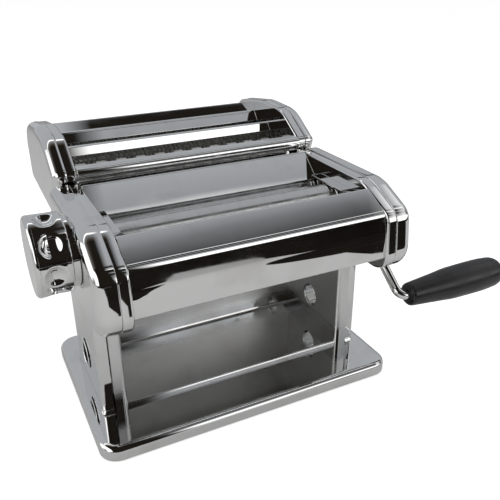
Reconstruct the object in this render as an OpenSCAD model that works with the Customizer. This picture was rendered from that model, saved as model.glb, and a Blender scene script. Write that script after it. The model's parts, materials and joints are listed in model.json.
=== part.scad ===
// Hand-cranked pasta roller with a lift-off cutter attachment.
// X runs along the rollers, with the crank on +X. Y runs from the front cover back to the
// cutter. Z is up. The origin is the middle of the base, at the level the feet stand on.

/* [Base and stand] */
// Width of the base plate along the rollers
base_w = 190; // [184:1:196]
// Depth of the base plate from front to back
base_d = 125; // [120:1:130]
// Height of the pressed rim of the base plate
base_h = 8.8; // [8:0.2:10]
// Radius of the base plate's corners
base_corner_r = 11; // [9:0.5:13]
// Thickness of the pressed sheets
sheet_t = 1.2; // [0.8:0.1:1.4]
// How far the rubber feet stand below the rim
foot_drop = 1; // [0.6:0.1:1.5]
// Half of the clear width between the legs
stand_in_x = 73; // [73:0.1:73.2]
// Outer face of each leg, from the middle
leg_out_x = 86.3; // [86:0.1:86.8]
// Half of the depth of the legs
leg_half_d = 31.4; // [30:0.2:32]
// Height of the box floor above the base plate
floor_lift = 2.9; // [2.5:0.1:3.5]
// Radius of the hole that the table clamp's pin enters
clamp_r = 7.2; // [6.5:0.1:7.5]
// Height of that hole above the base plate
clamp_lift = 22.3; // [20:0.1:25]

/* [Rollers] */
// Radius of the smooth rollers
roller_r = 14; // [14:0.1:14]
// Length of the smooth rollers
roller_len = 144.8; // [143:0.2:144.8]
// Height of the smooth rollers' axes
roller_z = 107.5; // [107.5:0.1:107.6]
// Place of the fixed rear roller's axis, behind the middle
rear_roller_y = 14; // [14:0.1:14.1]
// Widest gap between the rollers, at knob position 0
gap_max = 4.8; // [4.6:0.1:4.8]
// Narrowest gap, at knob position 9
gap_min = 0.6; // [0.6:0.1:1]
// Radius of the roller journals
journal_r = 8; // [7.5:0.1:8]
// Number of long teeth on each roller gear
gear_teeth = 12; // [12:1:12]

/* [Knob] */
// Outer radius of the knob, at its cap
knob_r = 21.8; // [21:0.1:22]
// Radius of the knob where it meets its ring
knob_root_r = 20.3; // [20:0.1:20.8]
// Radius of the fixed ring behind the knob
ring_r = 19.1; // [18.6:0.1:19.4]
// Place of the knob's axis, in front of the middle
knob_y = -21.5; // [-21.6:0.1:-21.4]
// Height of the knob's axis
knob_z = 112.3; // [112.2:0.1:112.4]
// Outer face of the knob, from the middle
knob_out_x = 111.4; // [111:0.1:112]
// Number of settings on the knob
knob_steps = 10; // [8:1:10]
// Turn from the first to the last setting
knob_turn = 324; // [300:1:330]

/* [Crank] */
// Distance from the crank's axis to the grip's axis
crank_len = 90; // [86:1:92]
// Radius of the crank's round rod
crank_rod_r = 3; // [2.8:0.1:3.2]
// Slope of the arm below the horizontal, pointing to the front
crank_angle = 37.5; // [30:0.5:45]
// Plane of the crank's arm, from the middle
crank_arm_x = 101.5; // [100:0.5:103]
// End of the crank's grip, from the middle
grip_end_x = 185; // [180:1:190]
// Largest radius of the grip
grip_r = 11; // [10:0.1:12]

/* [Cutter] */
// Radius of the cutting discs
disc_r = 9.5; // [9.5:0.1:9.5]
// Distance between the axes of one cutting pair
pair_pitch = 16.5; // [16.5:0.1:16.6]
// Height of the cutting rollers' axes
cutter_z = 122.5; // [122.4:0.1:122.6]
// Length of the cutting rollers
cutter_len = 141.4; // [140:0.2:141.6]
// Place of the wide pair's front roller
wide_y = 42.7; // [42.7:0.1:42.9]
// Place of the narrow pair's front roller
narrow_y = 78.5; // [78.4:0.1:78.6]
// Width of the ribbons that the wide pair cuts
wide_cut = 6.5; // [6:0.1:6.5]
// Width of the noodles that the narrow pair cuts
narrow_cut = 1.5; // [1.5:0.1:1.8]

/* [Hidden] */
$fn = 96;

chrome = "lightsteelblue";
steel = "silver";
nylon = "ivory";
black_plastic = "dimgray";

// Running clearance, clearance between loose parts, depth that welded pieces run into each
// other, and a cut's overrun past a face
fit = 0.05;
loose = 0.3;
weld = 0.2;
over = 1;

base_top = foot_drop + base_h;
floor_z = base_top + floor_lift;
clamp_y = 2;
clamp_z = base_top + clamp_lift;
clamp_wall = 1;
tray_top = 90;
back_top = 95;

// Stations along X, the same on both sides: frame pans, then end covers
frame_x = 73.5;
web_t = 3;
seam_x = 79.5;
cover_x = 91;
cover_edge_r = 6;
edge_steps = 4;
cover_wall = 1.5;
rim_wall = 1.5;

front_roller_y = rear_roller_y - 2 * roller_r - gap_max;
carrier_travel = gap_max - gap_min;
journal_end = 78.4;
bush_r = 9.5;
gear_x0 = 80;
gear_x1 = 86;
gear_root_r = 11.3;
gear_tip_r = 17;
gear_root_half = 8.4;
gear_tip_half = 3.2;
socket_r = 5;
socket_x0 = 75;
key_half = 1.1;
key_r = 6.6;
socket_end = 92.2;

// Main side profile, [y, z, corner radius], run anticlockwise from the bottom front
rear_slope = 13 / 31.3;
function rear_edge_y(z) = 39 - (z - 100) * rear_slope;
main_bottom = 90;
main_top = 131.3;
frame_profile = [[-76, 83, 13], [-35.5, 83, 2], [-33, main_bottom, 1], [39, main_bottom, 3], [39, 100, 10],
    [rear_edge_y(main_top), main_top, 4], [-46.4, main_top, 30], [-72.8, 119, 9]];
cover_top = 131.9;
cover_bottom = 82;
cover_profile = [[-77, cover_bottom, 16], [39, cover_bottom, 8], [39, 100, 10],
    [rear_edge_y(cover_top), cover_top, 4], [-47, cover_top, 30], [-73, 119.6, 11]];

// Cutter side profile, and how far it stays behind the main covers
cutter_gap = 0.9;
cutter_bottom = 102.5;
cutter_profile = [[rear_edge_y(cutter_bottom) + cutter_gap, cutter_bottom, 4], [124.5, 106, 9], [125.5, 134, 10],
    [118, 148.2, 12], [80, 153.8, 40], [51, 153, 30], [25.6, 137.2, 4.5]];
cutter_cover_grow = 0.3;
cutter_web_t = 2;
cutter_bush_r = 5.5;
cutter_bush_x1 = 76.1;
cutter_seam_x = 79.3;
cutter_cover_x = 87.5;
journal_cut_r = 4;
cutter_gear_x0 = 78;
cutter_gear_x1 = 83;
cutter_socket_x = 88.6;
wide_axes = [wide_y, wide_y + pair_pitch];
narrow_axes = [narrow_y, narrow_y + pair_pitch];
cutter_axes = concat(wide_axes, narrow_axes);
cutter_rods = [[32.6, 132.4], [68.85, 114.5], [113, 138]];
cutter_rod_r = 2.2;
cutter_rod_end_r = 1.8;
cutter_rod_end = 5;
cutter_nut_t = 2.4;
cutter_nut_r = 3;
tongue_x0 = 71.3;
tongue_x1 = 73.2;
tongue_y = 31.4;
tongue_d = 4.8;
tongue_bridge_z = 121;
tongue_bridge_h = 8;

main_rods = [[-62, 97], [-58, 117.5], [34.25, 95], [23, 124.5]];
main_nut = 5.6;
rod_r = 2.5;
rod_end_r = 2;
rod_tip = 0.4;
tongue_z = main_rods[2][1] + rod_r + fit;

// Knob parts, measured outwards from the middle on the -X side
ring_x = 92.6;
knob_in_x = 92.9;
knob_bush_r = 6;
pin_circle_r = 12;
locating_pin_r = 1.5;
locating_pin_l = 3;
cam_x0 = 82.8;
cam_x1 = 85.8;
shaft_r = 4;
cam_r0 = 11;
pin_r = 2;
cam_pin_y = knob_y + cam_r0 + pin_r + fit;

// Crank arm's two bends, shank and grip
crank_bend_r = 8;
crank_low_bend_r = 6;
shank_x0 = 75.6;
shank_x1 = 96;
cross_pin_x = 80;
grip_y = rear_roller_y - crank_len * cos(crank_angle);
grip_z = roller_z - crank_len * sin(crank_angle);
grip_x0 = crank_arm_x + crank_low_bend_r;
grip_bore_x = grip_end_x - 8.5;
clip_x = 160;
clip_t = 1.2;

// ---- Outlines -----------------------------------------------------------------------

function flat(p) = [p[0], p[1]];
function unit(v) = v / norm(v);
function wrap(a) = a > 180 ? a - 360 : a < -180 ? a + 360 : a;

// Arc of n steps that rounds the corner b between a and c to radius r
function bend(a, b, c, r, n = 6) =
    let (u = unit(a - b), w = unit(c - b), half = acos(u * w) / 2,
        centre = b + unit(u + w) * r / sin(half),
        from = b + u * r / tan(half) - centre, to = b + w * r / tan(half) - centre,
        start = atan2(from[1], from[0]), turn = wrap(atan2(to[1], to[0]) - start))
    [for (i = [0 : n]) centre + r * [cos(start + turn * i / n), sin(start + turn * i / n)]];

function corner(p, a, c) = p[2] > 0 ? bend(flat(a), flat(p), flat(c), p[2]) : [flat(p)];
function rounded_loop(pts) = let (n = len(pts))
    [for (i = [0 : n - 1]) each corner(pts[i], pts[(i + n - 1) % n], pts[(i + 1) % n])];
function rounded_path(pts) = let (n = len(pts))
    [for (i = [0 : n - 1]) each (i == 0 || i == n - 1) ? [flat(pts[i])]
        : corner(pts[i], pts[i - 1], pts[i + 1])];

// One corner moved to the left of its path by t, with its radius changed to match
function moved(p, along_in, along_out, t) =
    let (n_in = [-along_in[1], along_in[0]], n_out = [-along_out[1], along_out[0]],
        m = unit(n_in + n_out), k = t / (m * n_in),
        left = along_in[0] * along_out[1] - along_in[1] * along_out[0] > 0 ? 1 : -1)
    [p[0] + m[0] * k, p[1] + m[1] * k, p[2] > 0 ? max(p[2] - left * t, 0.3) : 0];
function inset_loop(pts, t) = let (n = len(pts))
    [for (i = [0 : n - 1]) moved(pts[i], unit(flat(pts[i]) - flat(pts[(i + n - 1) % n])),
        unit(flat(pts[(i + 1) % n]) - flat(pts[i])), t)];
function inset_path(pts, t) = let (n = len(pts))
    [for (i = [0 : n - 1])
        let (a = i == 0 ? 0 : i - 1, b = i == n - 1 ? n - 1 : i + 1,
            d_in = unit(flat(pts[max(i, 1)]) - flat(pts[max(i, 1) - 1])),
            d_out = unit(flat(pts[min(i, n - 2) + 1]) - flat(pts[min(i, n - 2)])))
        moved(pts[i], d_in, d_out, t)];
function backwards(v) = [for (i = [len(v) - 1 : -1 : 0]) v[i]];
function sheet_outline(pts, t) = concat(rounded_path(pts), backwards(rounded_path(inset_path(pts, t))));

// Gear outline with straight-sided teeth; a tooth points along angle phase
function gear_outline(n, root, tip, root_half, tip_half, phase) =
    [for (i = [0 : n - 1]) let (a = phase + i * 360 / n)
        each [root * [cos(a - root_half), sin(a - root_half)], tip * [cos(a - tip_half), sin(a - tip_half)],
            tip * [cos(a + tip_half), sin(a + tip_half)], root * [cos(a + root_half), sin(a + root_half)]]];

// ---- Shared shapes ------------------------------------------------------------------

// Draws a [y, z] outline as a slab from x0 to x1
module along_x(x0, x1) {
    rotate([90, 0, 90]) translate([0, 0, x0]) linear_extrude(x1 - x0) children();
}

module rod_x(x0, x1, r, y, z) {
    translate([x0, y, z]) rotate([0, 90, 0]) cylinder(h = x1 - x0, r = r);
}

module both_sides() {
    children();
    mirror([1, 0, 0]) children();
}

module sheet_x(pts, t, half_width) {
    along_x(-half_width, half_width) polygon(sheet_outline(pts, t));
}

// Body of revolution about X through (y, z); outline points are [x, radius]
module turned_x(pts, y, z) {
    translate([0, y, z]) rotate([0, 90, 0]) rotate_extrude() polygon([for (p = pts) [p[1], p[0]]]);
}

module tube_x(x0, x1, r_in, r_out, y, z) {
    turned_x([[x0, r_in], [x1, r_in], [x1, r_out], [x0, r_out]], y, z);
}

module hex_nut(x0, x1, across, hole_r, y, z) {
    difference() {
        translate([x0, y, z]) rotate([0, 90, 0]) cylinder(h = x1 - x0, r = across / sqrt(3), $fn = 6);
        rod_x(x0 - over, x1 + over, hole_r, y, z);
    }
}

// ---- Base and stand -----------------------------------------------------------------

rim_edge_r = 4;
rim_outline = sheet_outline([[0, base_top, 0], [base_corner_r, base_top, rim_edge_r],
    [base_corner_r, foot_drop, 0]], -sheet_t);
screw_x = 77.2;
screw_y = 22;
screw_r = 1.5;
screw_head_r = 2.5;
screw_head_h = 1.6;
screw_nut_h = 2.4;
screw_nut_r = 3.1;
screw_tip = 0.8;
screw_hole_r = screw_r + 0.1;
screw_holes = [for (x = [-screw_x, screw_x], y = [-screw_y, screw_y]) [x, y]];

module base_plate() color(chrome) {
    half_w = base_w / 2 - base_corner_r;
    half_d = base_d / 2 - base_corner_r;
    difference() {
        union() {
            for (sx = [-1, 1], sy = [-1, 1])
                translate([sx * half_w, sy * half_d])
                    rotate(sx > 0 ? (sy > 0 ? 0 : 270) : (sy > 0 ? 90 : 180))
                        rotate_extrude(angle = 90) polygon(rim_outline);
            for (s = [0, 180])
                rotate(s) {
                    translate([half_w, half_d]) rotate([90, 0, 0])
                        linear_extrude(2 * half_d) polygon(rim_outline);
                    translate([-half_w, half_d]) rotate([90, 0, 90])
                        linear_extrude(2 * half_w) polygon(rim_outline);
                }
            translate([-half_w, -half_d, base_top - sheet_t]) cube([2 * half_w, 2 * half_d, sheet_t]);
        }
        for (p = screw_holes) translate([p[0], p[1], 0]) cylinder(h = base_top + over, r = screw_hole_r);
    }
}

foot_inset = 13;
foot_r = 7;
foot_stem_r = 5;
foot_pad_h = 2.6;
module base_feet() color(black_plastic)
    for (sx = [-1, 1], sy = [-1, 1])
        translate([sx * (base_w / 2 - foot_inset), sy * (base_d / 2 - foot_inset), 0]) {
            cylinder(h = base_top - sheet_t, r = foot_stem_r);
            cylinder(h = foot_pad_h, r = foot_r);
        }

floor_front_y = loose - leg_half_d;
flange_w = 6.4;
tray_path = [[floor_front_y, base_top, 0], [floor_front_y, floor_z, 2.6],
    [leg_half_d - sheet_t, floor_z, 2], [leg_half_d - sheet_t, back_top, 0]];

module stand_tray() color(chrome) {
    wall_x = stand_in_x + sheet_t;
    difference() {
        union() {
            sheet_x(tray_path, -sheet_t, stand_in_x + weld);
            both_sides() {
                translate([stand_in_x, -leg_half_d, base_top])
                    cube([sheet_t, 2 * leg_half_d, tray_top - base_top]);
                for (y = [-leg_half_d, leg_half_d - sheet_t])
                    translate([stand_in_x, y, base_top]) cube([flange_w, sheet_t, tray_top - base_top]);
                for (z = [base_top, tray_top - sheet_t])
                    translate([stand_in_x, -leg_half_d, z]) cube([flange_w, 2 * leg_half_d, sheet_t]);
            }
        }
        both_sides() {
            rod_x(stand_in_x - over, wall_x + over, clamp_r + clamp_wall, clamp_y, clamp_z);
            for (y = [-screw_y, screw_y]) translate([screw_x, y, 0]) cylinder(h = tray_top + over, r = screw_hole_r);
        }
    }
}

leg_top = 88;
leg_lip = 1;
leg_path = [[80, -leg_half_d, 0], [leg_out_x, -leg_half_d, 3], [leg_out_x, leg_half_d, 3],
    [80, leg_half_d, 0]];

module leg() {
    difference() {
        union() {
            translate([0, 0, base_top]) linear_extrude(leg_top - base_top)
                polygon(sheet_outline(leg_path, sheet_t));
            translate([0, 0, base_top]) linear_extrude(leg_lip)
                polygon(sheet_outline(inset_path(leg_path, -leg_lip), sheet_t + leg_lip));
        }
        rod_x(leg_out_x - sheet_t - over, leg_out_x + over, clamp_r + clamp_wall, clamp_y, clamp_z);
    }
}
module leg_left() color(chrome) mirror([1, 0, 0]) leg();
module leg_right() color(chrome) leg();

// Tube through the leg with its ends rolled over into collars
collar_t = 0.9;
collar_w = 1.5;
module clamp_tube() {
    outer = clamp_r + clamp_wall;
    lip = outer + collar_w;
    turned_x([[stand_in_x - collar_t, clamp_r], [leg_out_x + collar_t, clamp_r], [leg_out_x + collar_t, lip],
        [leg_out_x, lip], [leg_out_x, outer], [stand_in_x, outer], [stand_in_x, lip],
        [stand_in_x - collar_t, lip]], clamp_y, clamp_z);
}
module clamp_tube_left() color(chrome) mirror([1, 0, 0]) clamp_tube();
module clamp_tube_right() color(chrome) clamp_tube();

// Screws from below the base and down through the frames, with their nuts
module screw(head_z, end_z, nut_z) {
    low = min(head_z, end_z);
    translate([0, 0, low]) cylinder(h = max(head_z, end_z) - low, r = screw_r);
    translate([0, 0, head_z > end_z ? head_z : head_z - screw_head_h])
        cylinder(h = screw_head_h, r = screw_head_r);
    rotate(30) translate([0, 0, nut_z]) cylinder(h = screw_nut_h, r = screw_nut_r, $fn = 6);
}
module stand_screws() color(steel)
    for (p = screw_holes) translate([p[0], p[1], 0]) {
        screw(base_top - sheet_t, base_top + sheet_t + screw_nut_h + screw_tip, base_top + sheet_t);
        screw(main_bottom + rim_wall, tray_top - sheet_t - screw_nut_h - screw_tip,
            tray_top - sheet_t - screw_nut_h);
    }

// ---- Main frames and covers ---------------------------------------------------------

carrier_y0 = front_roller_y - 19.2;
carrier_y1 = front_roller_y + 14.3;
carrier_half_h = 13;
carrier_gap = 0.2;
carrier_flange_t = 1.9;
bridge_d = 3.6;
bridge_h = 8;
scraper_tab_r = 1.2;
scraper_tab = [13.6, -9.6];

module side_frame() {
    web_x = frame_x + web_t;
    difference() {
        along_x(frame_x, seam_x) polygon(rounded_loop(frame_profile));
        along_x(web_x, seam_x + over) polygon(rounded_loop(inset_loop(frame_profile, rim_wall)));
        rod_x(frame_x - over, seam_x, bush_r, rear_roller_y, roller_z);
        translate([frame_x - over, carrier_y0 - carrier_gap, roller_z - carrier_half_h - fit])
            cube([web_t + 2 * over, carrier_y1 - carrier_y0 + carrier_travel + 2 * carrier_gap,
                2 * (carrier_half_h + fit)]);
        for (p = main_rods) rod_x(frame_x - over, seam_x, rod_end_r, p[0], p[1]);
        rod_x(frame_x - over, seam_x, scraper_tab_r, rear_roller_y + scraper_tab[0], roller_z + scraper_tab[1]);
        for (y = [-screw_y, screw_y]) translate([screw_x, y, main_bottom - over]) {
            cylinder(h = rim_wall + 2 * over, r = screw_hole_r);
            translate([0, 0, rim_wall + over]) cylinder(h = screw_head_h + loose, r = screw_head_r + loose);
        }
    }
}
module side_frame_left() color(chrome) mirror([1, 0, 0]) side_frame();
module side_frame_right() color(chrome) side_frame();

// Slab from x0 to x1 whose edge at x1 is rounded to radius r in small steps
module rounded_slab(profile, x0, x1, r) {
    along_x(x0, x1 - r) polygon(rounded_loop(profile));
    for (i = [1 : edge_steps])
        along_x(x0, x1 - r + r * sin(90 * i / edge_steps))
            polygon(rounded_loop(inset_loop(profile, r * (1 - cos(90 * (i - 0.5) / edge_steps)))));
}

// Hollow cover, open on its inner side
module cover_shell(profile, x0, x1) difference() {
    rounded_slab(profile, x0, x1, cover_edge_r);
    rounded_slab(inset_loop(profile, cover_wall), x0 - over, x1 - cover_wall, cover_edge_r - cover_wall);
}

notch_gap = 1.3;
notch_h = 3;
module end_cover() {
    notch = leg_half_d + notch_gap;
    difference() {
        cover_shell(cover_profile, seam_x, cover_x);
        translate([seam_x - over, -notch, cover_bottom - over])
            cube([leg_out_x + notch_gap - seam_x + over, 2 * notch, notch_h + over]);
    }
}
module end_cover_left() color(chrome) difference() {
    mirror([1, 0, 0]) end_cover();
    rod_x(-cover_x - over, -cover_x + cover_wall + over, knob_bush_r, knob_y, knob_z);
}
module end_cover_right() color(chrome) difference() {
    end_cover();
    rod_x(cover_x - cover_wall - over, cover_x + over, journal_r + 2 * loose, rear_roller_y, roller_z);
}

front_path = [[-51.4, 125.6, 0], [-51.9, 129.6, 1.3], [-69.6, 119.8, 5], [-72.6, 106, 30],
    [-72.4, 92.6, 1.3], [-68.8, 91.8, 0]];
module front_cover() color(chrome) sheet_x(front_path, sheet_t, frame_x);

// Rear sheet, slotted at both ends for the cutter's tongues
rear_path = [[38, 91.8, 0], [38, 100, 8], [rear_edge_y(130.2) - 1, 130.2, 0]];
slot_z0 = 98.6;
slot_z1 = 118;
slot_gap = 0.4;
slot_y = 20;
slot_d = 20;
module rear_cover() color(chrome) difference() {
    sheet_x(rear_path, sheet_t, frame_x);
    both_sides() translate([tongue_x0 - slot_gap, slot_y, slot_z0])
        cube([frame_x - tongue_x0 + slot_gap + over, slot_d, slot_z1 - slot_z0]);
}

hopper_path = [[rear_edge_y(131.7) - 0.2, 131.8, 0], [18, 131.8, 2], [2.2, 118.2, 0]];
module hopper_panel() color(chrome) sheet_x(hopper_path, sheet_t, frame_x);

// Plate over each end of the rollers that keeps dough off the frames
guide_x0 = 66.5;
guide_path = [[-2.6, 123.2, 0], [-36, 123.2, 8], [-50.6, 126.9, 0]];
module feed_guide() along_x(guide_x0, frame_x) polygon(sheet_outline(guide_path, sheet_t));
module feed_guide_left() color(chrome) mirror([1, 0, 0]) feed_guide();
module feed_guide_right() color(chrome) feed_guide();

// Blade just clear of a roller, at [y, z] offsets from its axis; side is 1 or -1 in Y
blade_x = frame_x - loose;
blade = [[12.4, -7.2], [11.3, -9.3], [14.7, -11.9], [16.4, -10.1]];
scraper_tab_x = frame_x + 2.5;
module scraper(y, side) {
    along_x(-blade_x, blade_x)
        polygon([for (p = blade) [y + side * p[0], roller_z + p[1]]]);
    both_sides()
        rod_x(blade_x - over, scraper_tab_x, scraper_tab_r, y + side * scraper_tab[0], roller_z + scraper_tab[1]);
}
module rear_scraper() color(nylon) scraper(rear_roller_y, 1);
module front_scraper() color(nylon) scraper(front_roller_y, -1);

module tie_rods() color(steel)
    for (p = main_rods) {
        rod_x(-frame_x, frame_x, rod_r, p[0], p[1]);
        both_sides() rod_x(frame_x - over, seam_x + rod_tip, rod_end_r, p[0], p[1]);
    }
module tie_rod_nuts() color(steel)
    for (p = main_rods) both_sides() hex_nut(frame_x + web_t, seam_x - rod_tip, main_nut, rod_end_r, p[0], p[1]);

module roller_bushes() color(nylon)
    both_sides()
        tube_x(frame_x - weld, journal_end - loose, journal_r + fit, bush_r, rear_roller_y, roller_z);

// ---- Smooth rollers -----------------------------------------------------------------

// Socket for the crank, with a keyway on each side for its cross pin
module socket_cut(x0, x1, y, z) {
    rod_x(x0, x1, socket_r, y, z);
    translate([x0, y - key_r, z - key_half]) cube([x1 - x0, 2 * key_r, 2 * key_half]);
}

module smooth_roller(y, right_end) {
    rod_x(-roller_len / 2, roller_len / 2, roller_r, y, roller_z);
    rod_x(-journal_end, right_end, journal_r, y, roller_z);
}
module rear_roller() color(steel) difference() {
    smooth_roller(rear_roller_y, socket_end);
    socket_cut(socket_x0, socket_end + over, rear_roller_y, roller_z);
}
module front_roller() color(steel) smooth_roller(front_roller_y, gear_x1 + loose);

module roller_gear(y, phase) {
    difference() {
        translate([0, y, roller_z]) along_x(gear_x0, gear_x1)
            polygon(gear_outline(gear_teeth, gear_root_r, gear_tip_r, gear_root_half, gear_tip_half, phase));
        rod_x(gear_x0 - over, gear_x1 + over, journal_r, y, roller_z);
    }
}
module rear_roller_gear() color(steel) roller_gear(rear_roller_y, 180 / gear_teeth);
module front_roller_gear() color(steel) roller_gear(front_roller_y, 0);

// Block that holds one end of the front roller and slides in its frame's window
module carrier() {
    difference() {
        union() {
            translate([frame_x + carrier_gap, carrier_y0, roller_z - carrier_half_h])
                cube([journal_end - loose - frame_x - carrier_gap, carrier_y1 - carrier_y0, 2 * carrier_half_h]);
            translate([frame_x + web_t + fit, carrier_y0 + over, roller_z - carrier_half_h - over])
                cube([carrier_flange_t, carrier_y1 - carrier_y0 - over, 2 * (carrier_half_h + over)]);
        }
        rod_x(frame_x - over, seam_x, journal_r + fit, front_roller_y, roller_z);
        rod_x(frame_x - over, scraper_tab_x + loose, scraper_tab_r, front_roller_y - scraper_tab[0],
            roller_z + scraper_tab[1]);
    }
}
module carrier_left() color(nylon) mirror([1, 0, 0]) {
    carrier();
    rod_x(journal_end - over, cam_x1 - loose, pin_r, cam_pin_y, knob_z);
}
module carrier_right() color(nylon) carrier();
module carrier_bridge() color(steel)
    translate([-frame_x - carrier_gap, carrier_y0 + carrier_gap, roller_z - bridge_h / 2])
        cube([2 * (frame_x + carrier_gap), bridge_d, bridge_h]);

// ---- Thickness knob -----------------------------------------------------------------

pin_hole_r = 1.6;
pin_hole_d = 1;
module locating_ring() color(chrome) difference() {
    tube_x(-ring_x, -cover_x, knob_bush_r, ring_r, knob_y, knob_z);
    for (i = [0 : knob_steps - 1]) let (a = i * knob_turn / (knob_steps - 1))
        rod_x(-ring_x - over, -ring_x + pin_hole_d, pin_hole_r, knob_y + pin_circle_r * cos(a),
            knob_z + pin_circle_r * sin(a));
}
module knob_bush() color(nylon)
    tube_x(-ring_x, -cam_x1 - loose, shaft_r + fit, knob_bush_r, knob_y, knob_z);

shaft_flat = 3;
shaft_end_x = 107;
module knob_shaft() color(steel) difference() {
    rod_x(-shaft_end_x, -cam_x0 + 2 * loose, shaft_r, knob_y, knob_z);
    translate([-shaft_end_x - over, knob_y - shaft_r, knob_z + shaft_flat])
        cube([shaft_end_x - knob_in_x + over + fit, 2 * shaft_r, shaft_r]);
}
// Plate cam whose radius grows evenly with the turn, with a short dwell before and after
cam_points = 60;
cam_dwell = 10;
function cam_r(a) = cam_r0 + max(0, -a) * carrier_travel / knob_turn;
module knob_cam() color(steel) difference() {
    translate([0, knob_y, knob_z]) along_x(-cam_x1, -cam_x0)
        polygon([for (i = [0 : cam_points]) let (a = cam_dwell - i * (knob_turn + 2 * cam_dwell) / cam_points)
            cam_r(a) * [cos(a), sin(a)]]);
    rod_x(-cam_x1 - over, -cam_x0 + over, shaft_r, knob_y, knob_z);
}
end_screw_h = 1.4;
end_screw_r = 6.6;
module knob_end_screw() color(steel)
    rod_x(-shaft_end_x - end_screw_h, -shaft_end_x, end_screw_r, knob_y, knob_z);

spring_r = 5.6;
spring_wire_r = 0.5;
spring_turns = 4;
ledge_x = 96.5;
spring_len = shaft_end_x - ledge_x - 2 * (spring_wire_r + fit);
turn_steps = 16;
spring_steps = turn_steps * spring_turns;
spring_sides = 8;
function spring_ring(i) =
    let (a = i * 360 / turn_steps, x = -ledge_x - spring_wire_r - fit - i * spring_len / spring_steps)
    [for (k = [0 : spring_sides - 1]) let (b = k * 360 / spring_sides, r = spring_r + spring_wire_r * cos(b))
        [x - spring_wire_r * sin(b), knob_y + r * cos(a), knob_z + r * sin(a)]];
module knob_spring() color(steel)
    polyhedron(points = [for (i = [0 : spring_steps]) each spring_ring(i)],
        faces = concat(
            [[for (k = [0 : spring_sides - 1]) k]],
            [for (i = [0 : spring_steps - 1], k = [0 : spring_sides - 1])
                let (a = i * spring_sides, n = (k + 1) % spring_sides)
                [a + k, a + spring_sides + k, a + spring_sides + n, a + n]],
            [[for (k = [spring_sides - 1 : -1 : 0]) spring_steps * spring_sides + k]]));

cap_t = 2.6;
cap_x = knob_out_x - cap_t;
cavity_r = 8;
// Finger hollows round the knob, each cut by a drum with tapered ends
dimple_r = 9;
dimple_depth = 3;
dimple_x0 = 96.4;
dimple_x1 = 106.8;
dimple_taper = 3;
dimple_mid_r = (knob_root_r + knob_r) / 2;
dimples = 8;
cap_edge = 2.4;
cap_edge_steps = 6;
root_edge = 0.7;
module knob() color(chrome) difference() {
    turned_x([[-knob_in_x, 0], [-knob_in_x, knob_root_r - root_edge], [-knob_in_x - root_edge, knob_root_r],
        [-cap_x, knob_r], [-cap_x, 0]], knob_y, knob_z);
    rod_x(-cap_x - over, -ledge_x, cavity_r, knob_y, knob_z);
    difference() {
        rod_x(-ledge_x - over, -knob_in_x + over, shaft_r + fit, knob_y, knob_z);
        translate([-ledge_x - 2 * over, knob_y - shaft_r - over, knob_z + shaft_flat + fit])
            cube([ledge_x - knob_in_x + 4 * over, 2 * (shaft_r + over), shaft_r]);
    }
    rod_x(-knob_in_x - locating_pin_l, -knob_in_x + over, locating_pin_r, knob_y + pin_circle_r, knob_z);
    for (i = [0 : dimples - 1]) let (a = (i + 0.5) * 360 / dimples, d = dimple_mid_r + dimple_r - dimple_depth)
        turned_x([[-dimple_x1, 0], [-dimple_x1, dimple_r - dimple_depth], [-dimple_x1 + dimple_taper, dimple_r],
            [-dimple_x0 - dimple_taper, dimple_r], [-dimple_x0, dimple_r - dimple_depth], [-dimple_x0, 0]],
            knob_y + d * cos(a), knob_z + d * sin(a));
}
module knob_cap() color(chrome)
    turned_x(concat([[-cap_x, 0], [-cap_x, knob_r]],
        [for (i = [0 : cap_edge_steps]) let (a = i * 90 / cap_edge_steps)
            [-knob_out_x + cap_edge - cap_edge * sin(a), knob_r - cap_edge + cap_edge * cos(a)]],
        [[-knob_out_x, 0]]), knob_y, knob_z);
module locating_pin() color(steel)
    rod_x(-knob_in_x - locating_pin_l, -ring_x - 2 * fit, locating_pin_r, knob_y + pin_circle_r, knob_z);

// ---- Crank --------------------------------------------------------------------------

// Built with the arm along -Y, then turned down about the rollers' direction
module crank_arm() color(chrome) {
    bend_x = crank_arm_x - crank_bend_r;
    low_r = crank_low_bend_r;
    rod_x(shank_x0, shank_x1, socket_r - fit, rear_roller_y, roller_z);
    translate([cross_pin_x, rear_roller_y + key_r - 4 * fit, roller_z]) rotate([90, 0, 0])
        cylinder(h = 2 * (key_r - 4 * fit), r = key_half - 2 * fit);
    translate([0, rear_roller_y, roller_z]) rotate([crank_angle, 0, 0]) {
        rod_x(shank_x0 + over, bend_x, crank_rod_r, 0, 0);
        translate([bend_x, -crank_bend_r, 0]) rotate_extrude(angle = 90)
            translate([crank_bend_r, 0]) circle(r = crank_rod_r);
        translate([crank_arm_x, -crank_bend_r, 0]) rotate([90, 0, 0])
            cylinder(h = crank_len - crank_bend_r - low_r, r = crank_rod_r);
        translate([grip_x0, low_r - crank_len, 0]) rotate(180) rotate_extrude(angle = 90)
            translate([low_r, 0]) circle(r = crank_rod_r);
        rod_x(grip_x0, grip_bore_x - 2 * loose, crank_rod_r, -crank_len, 0);
    }
}
module grip_clip() color(steel)
    tube_x(clip_x, clip_x + clip_t, crank_rod_r, crank_rod_r + clip_t, grip_y, grip_z);

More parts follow.
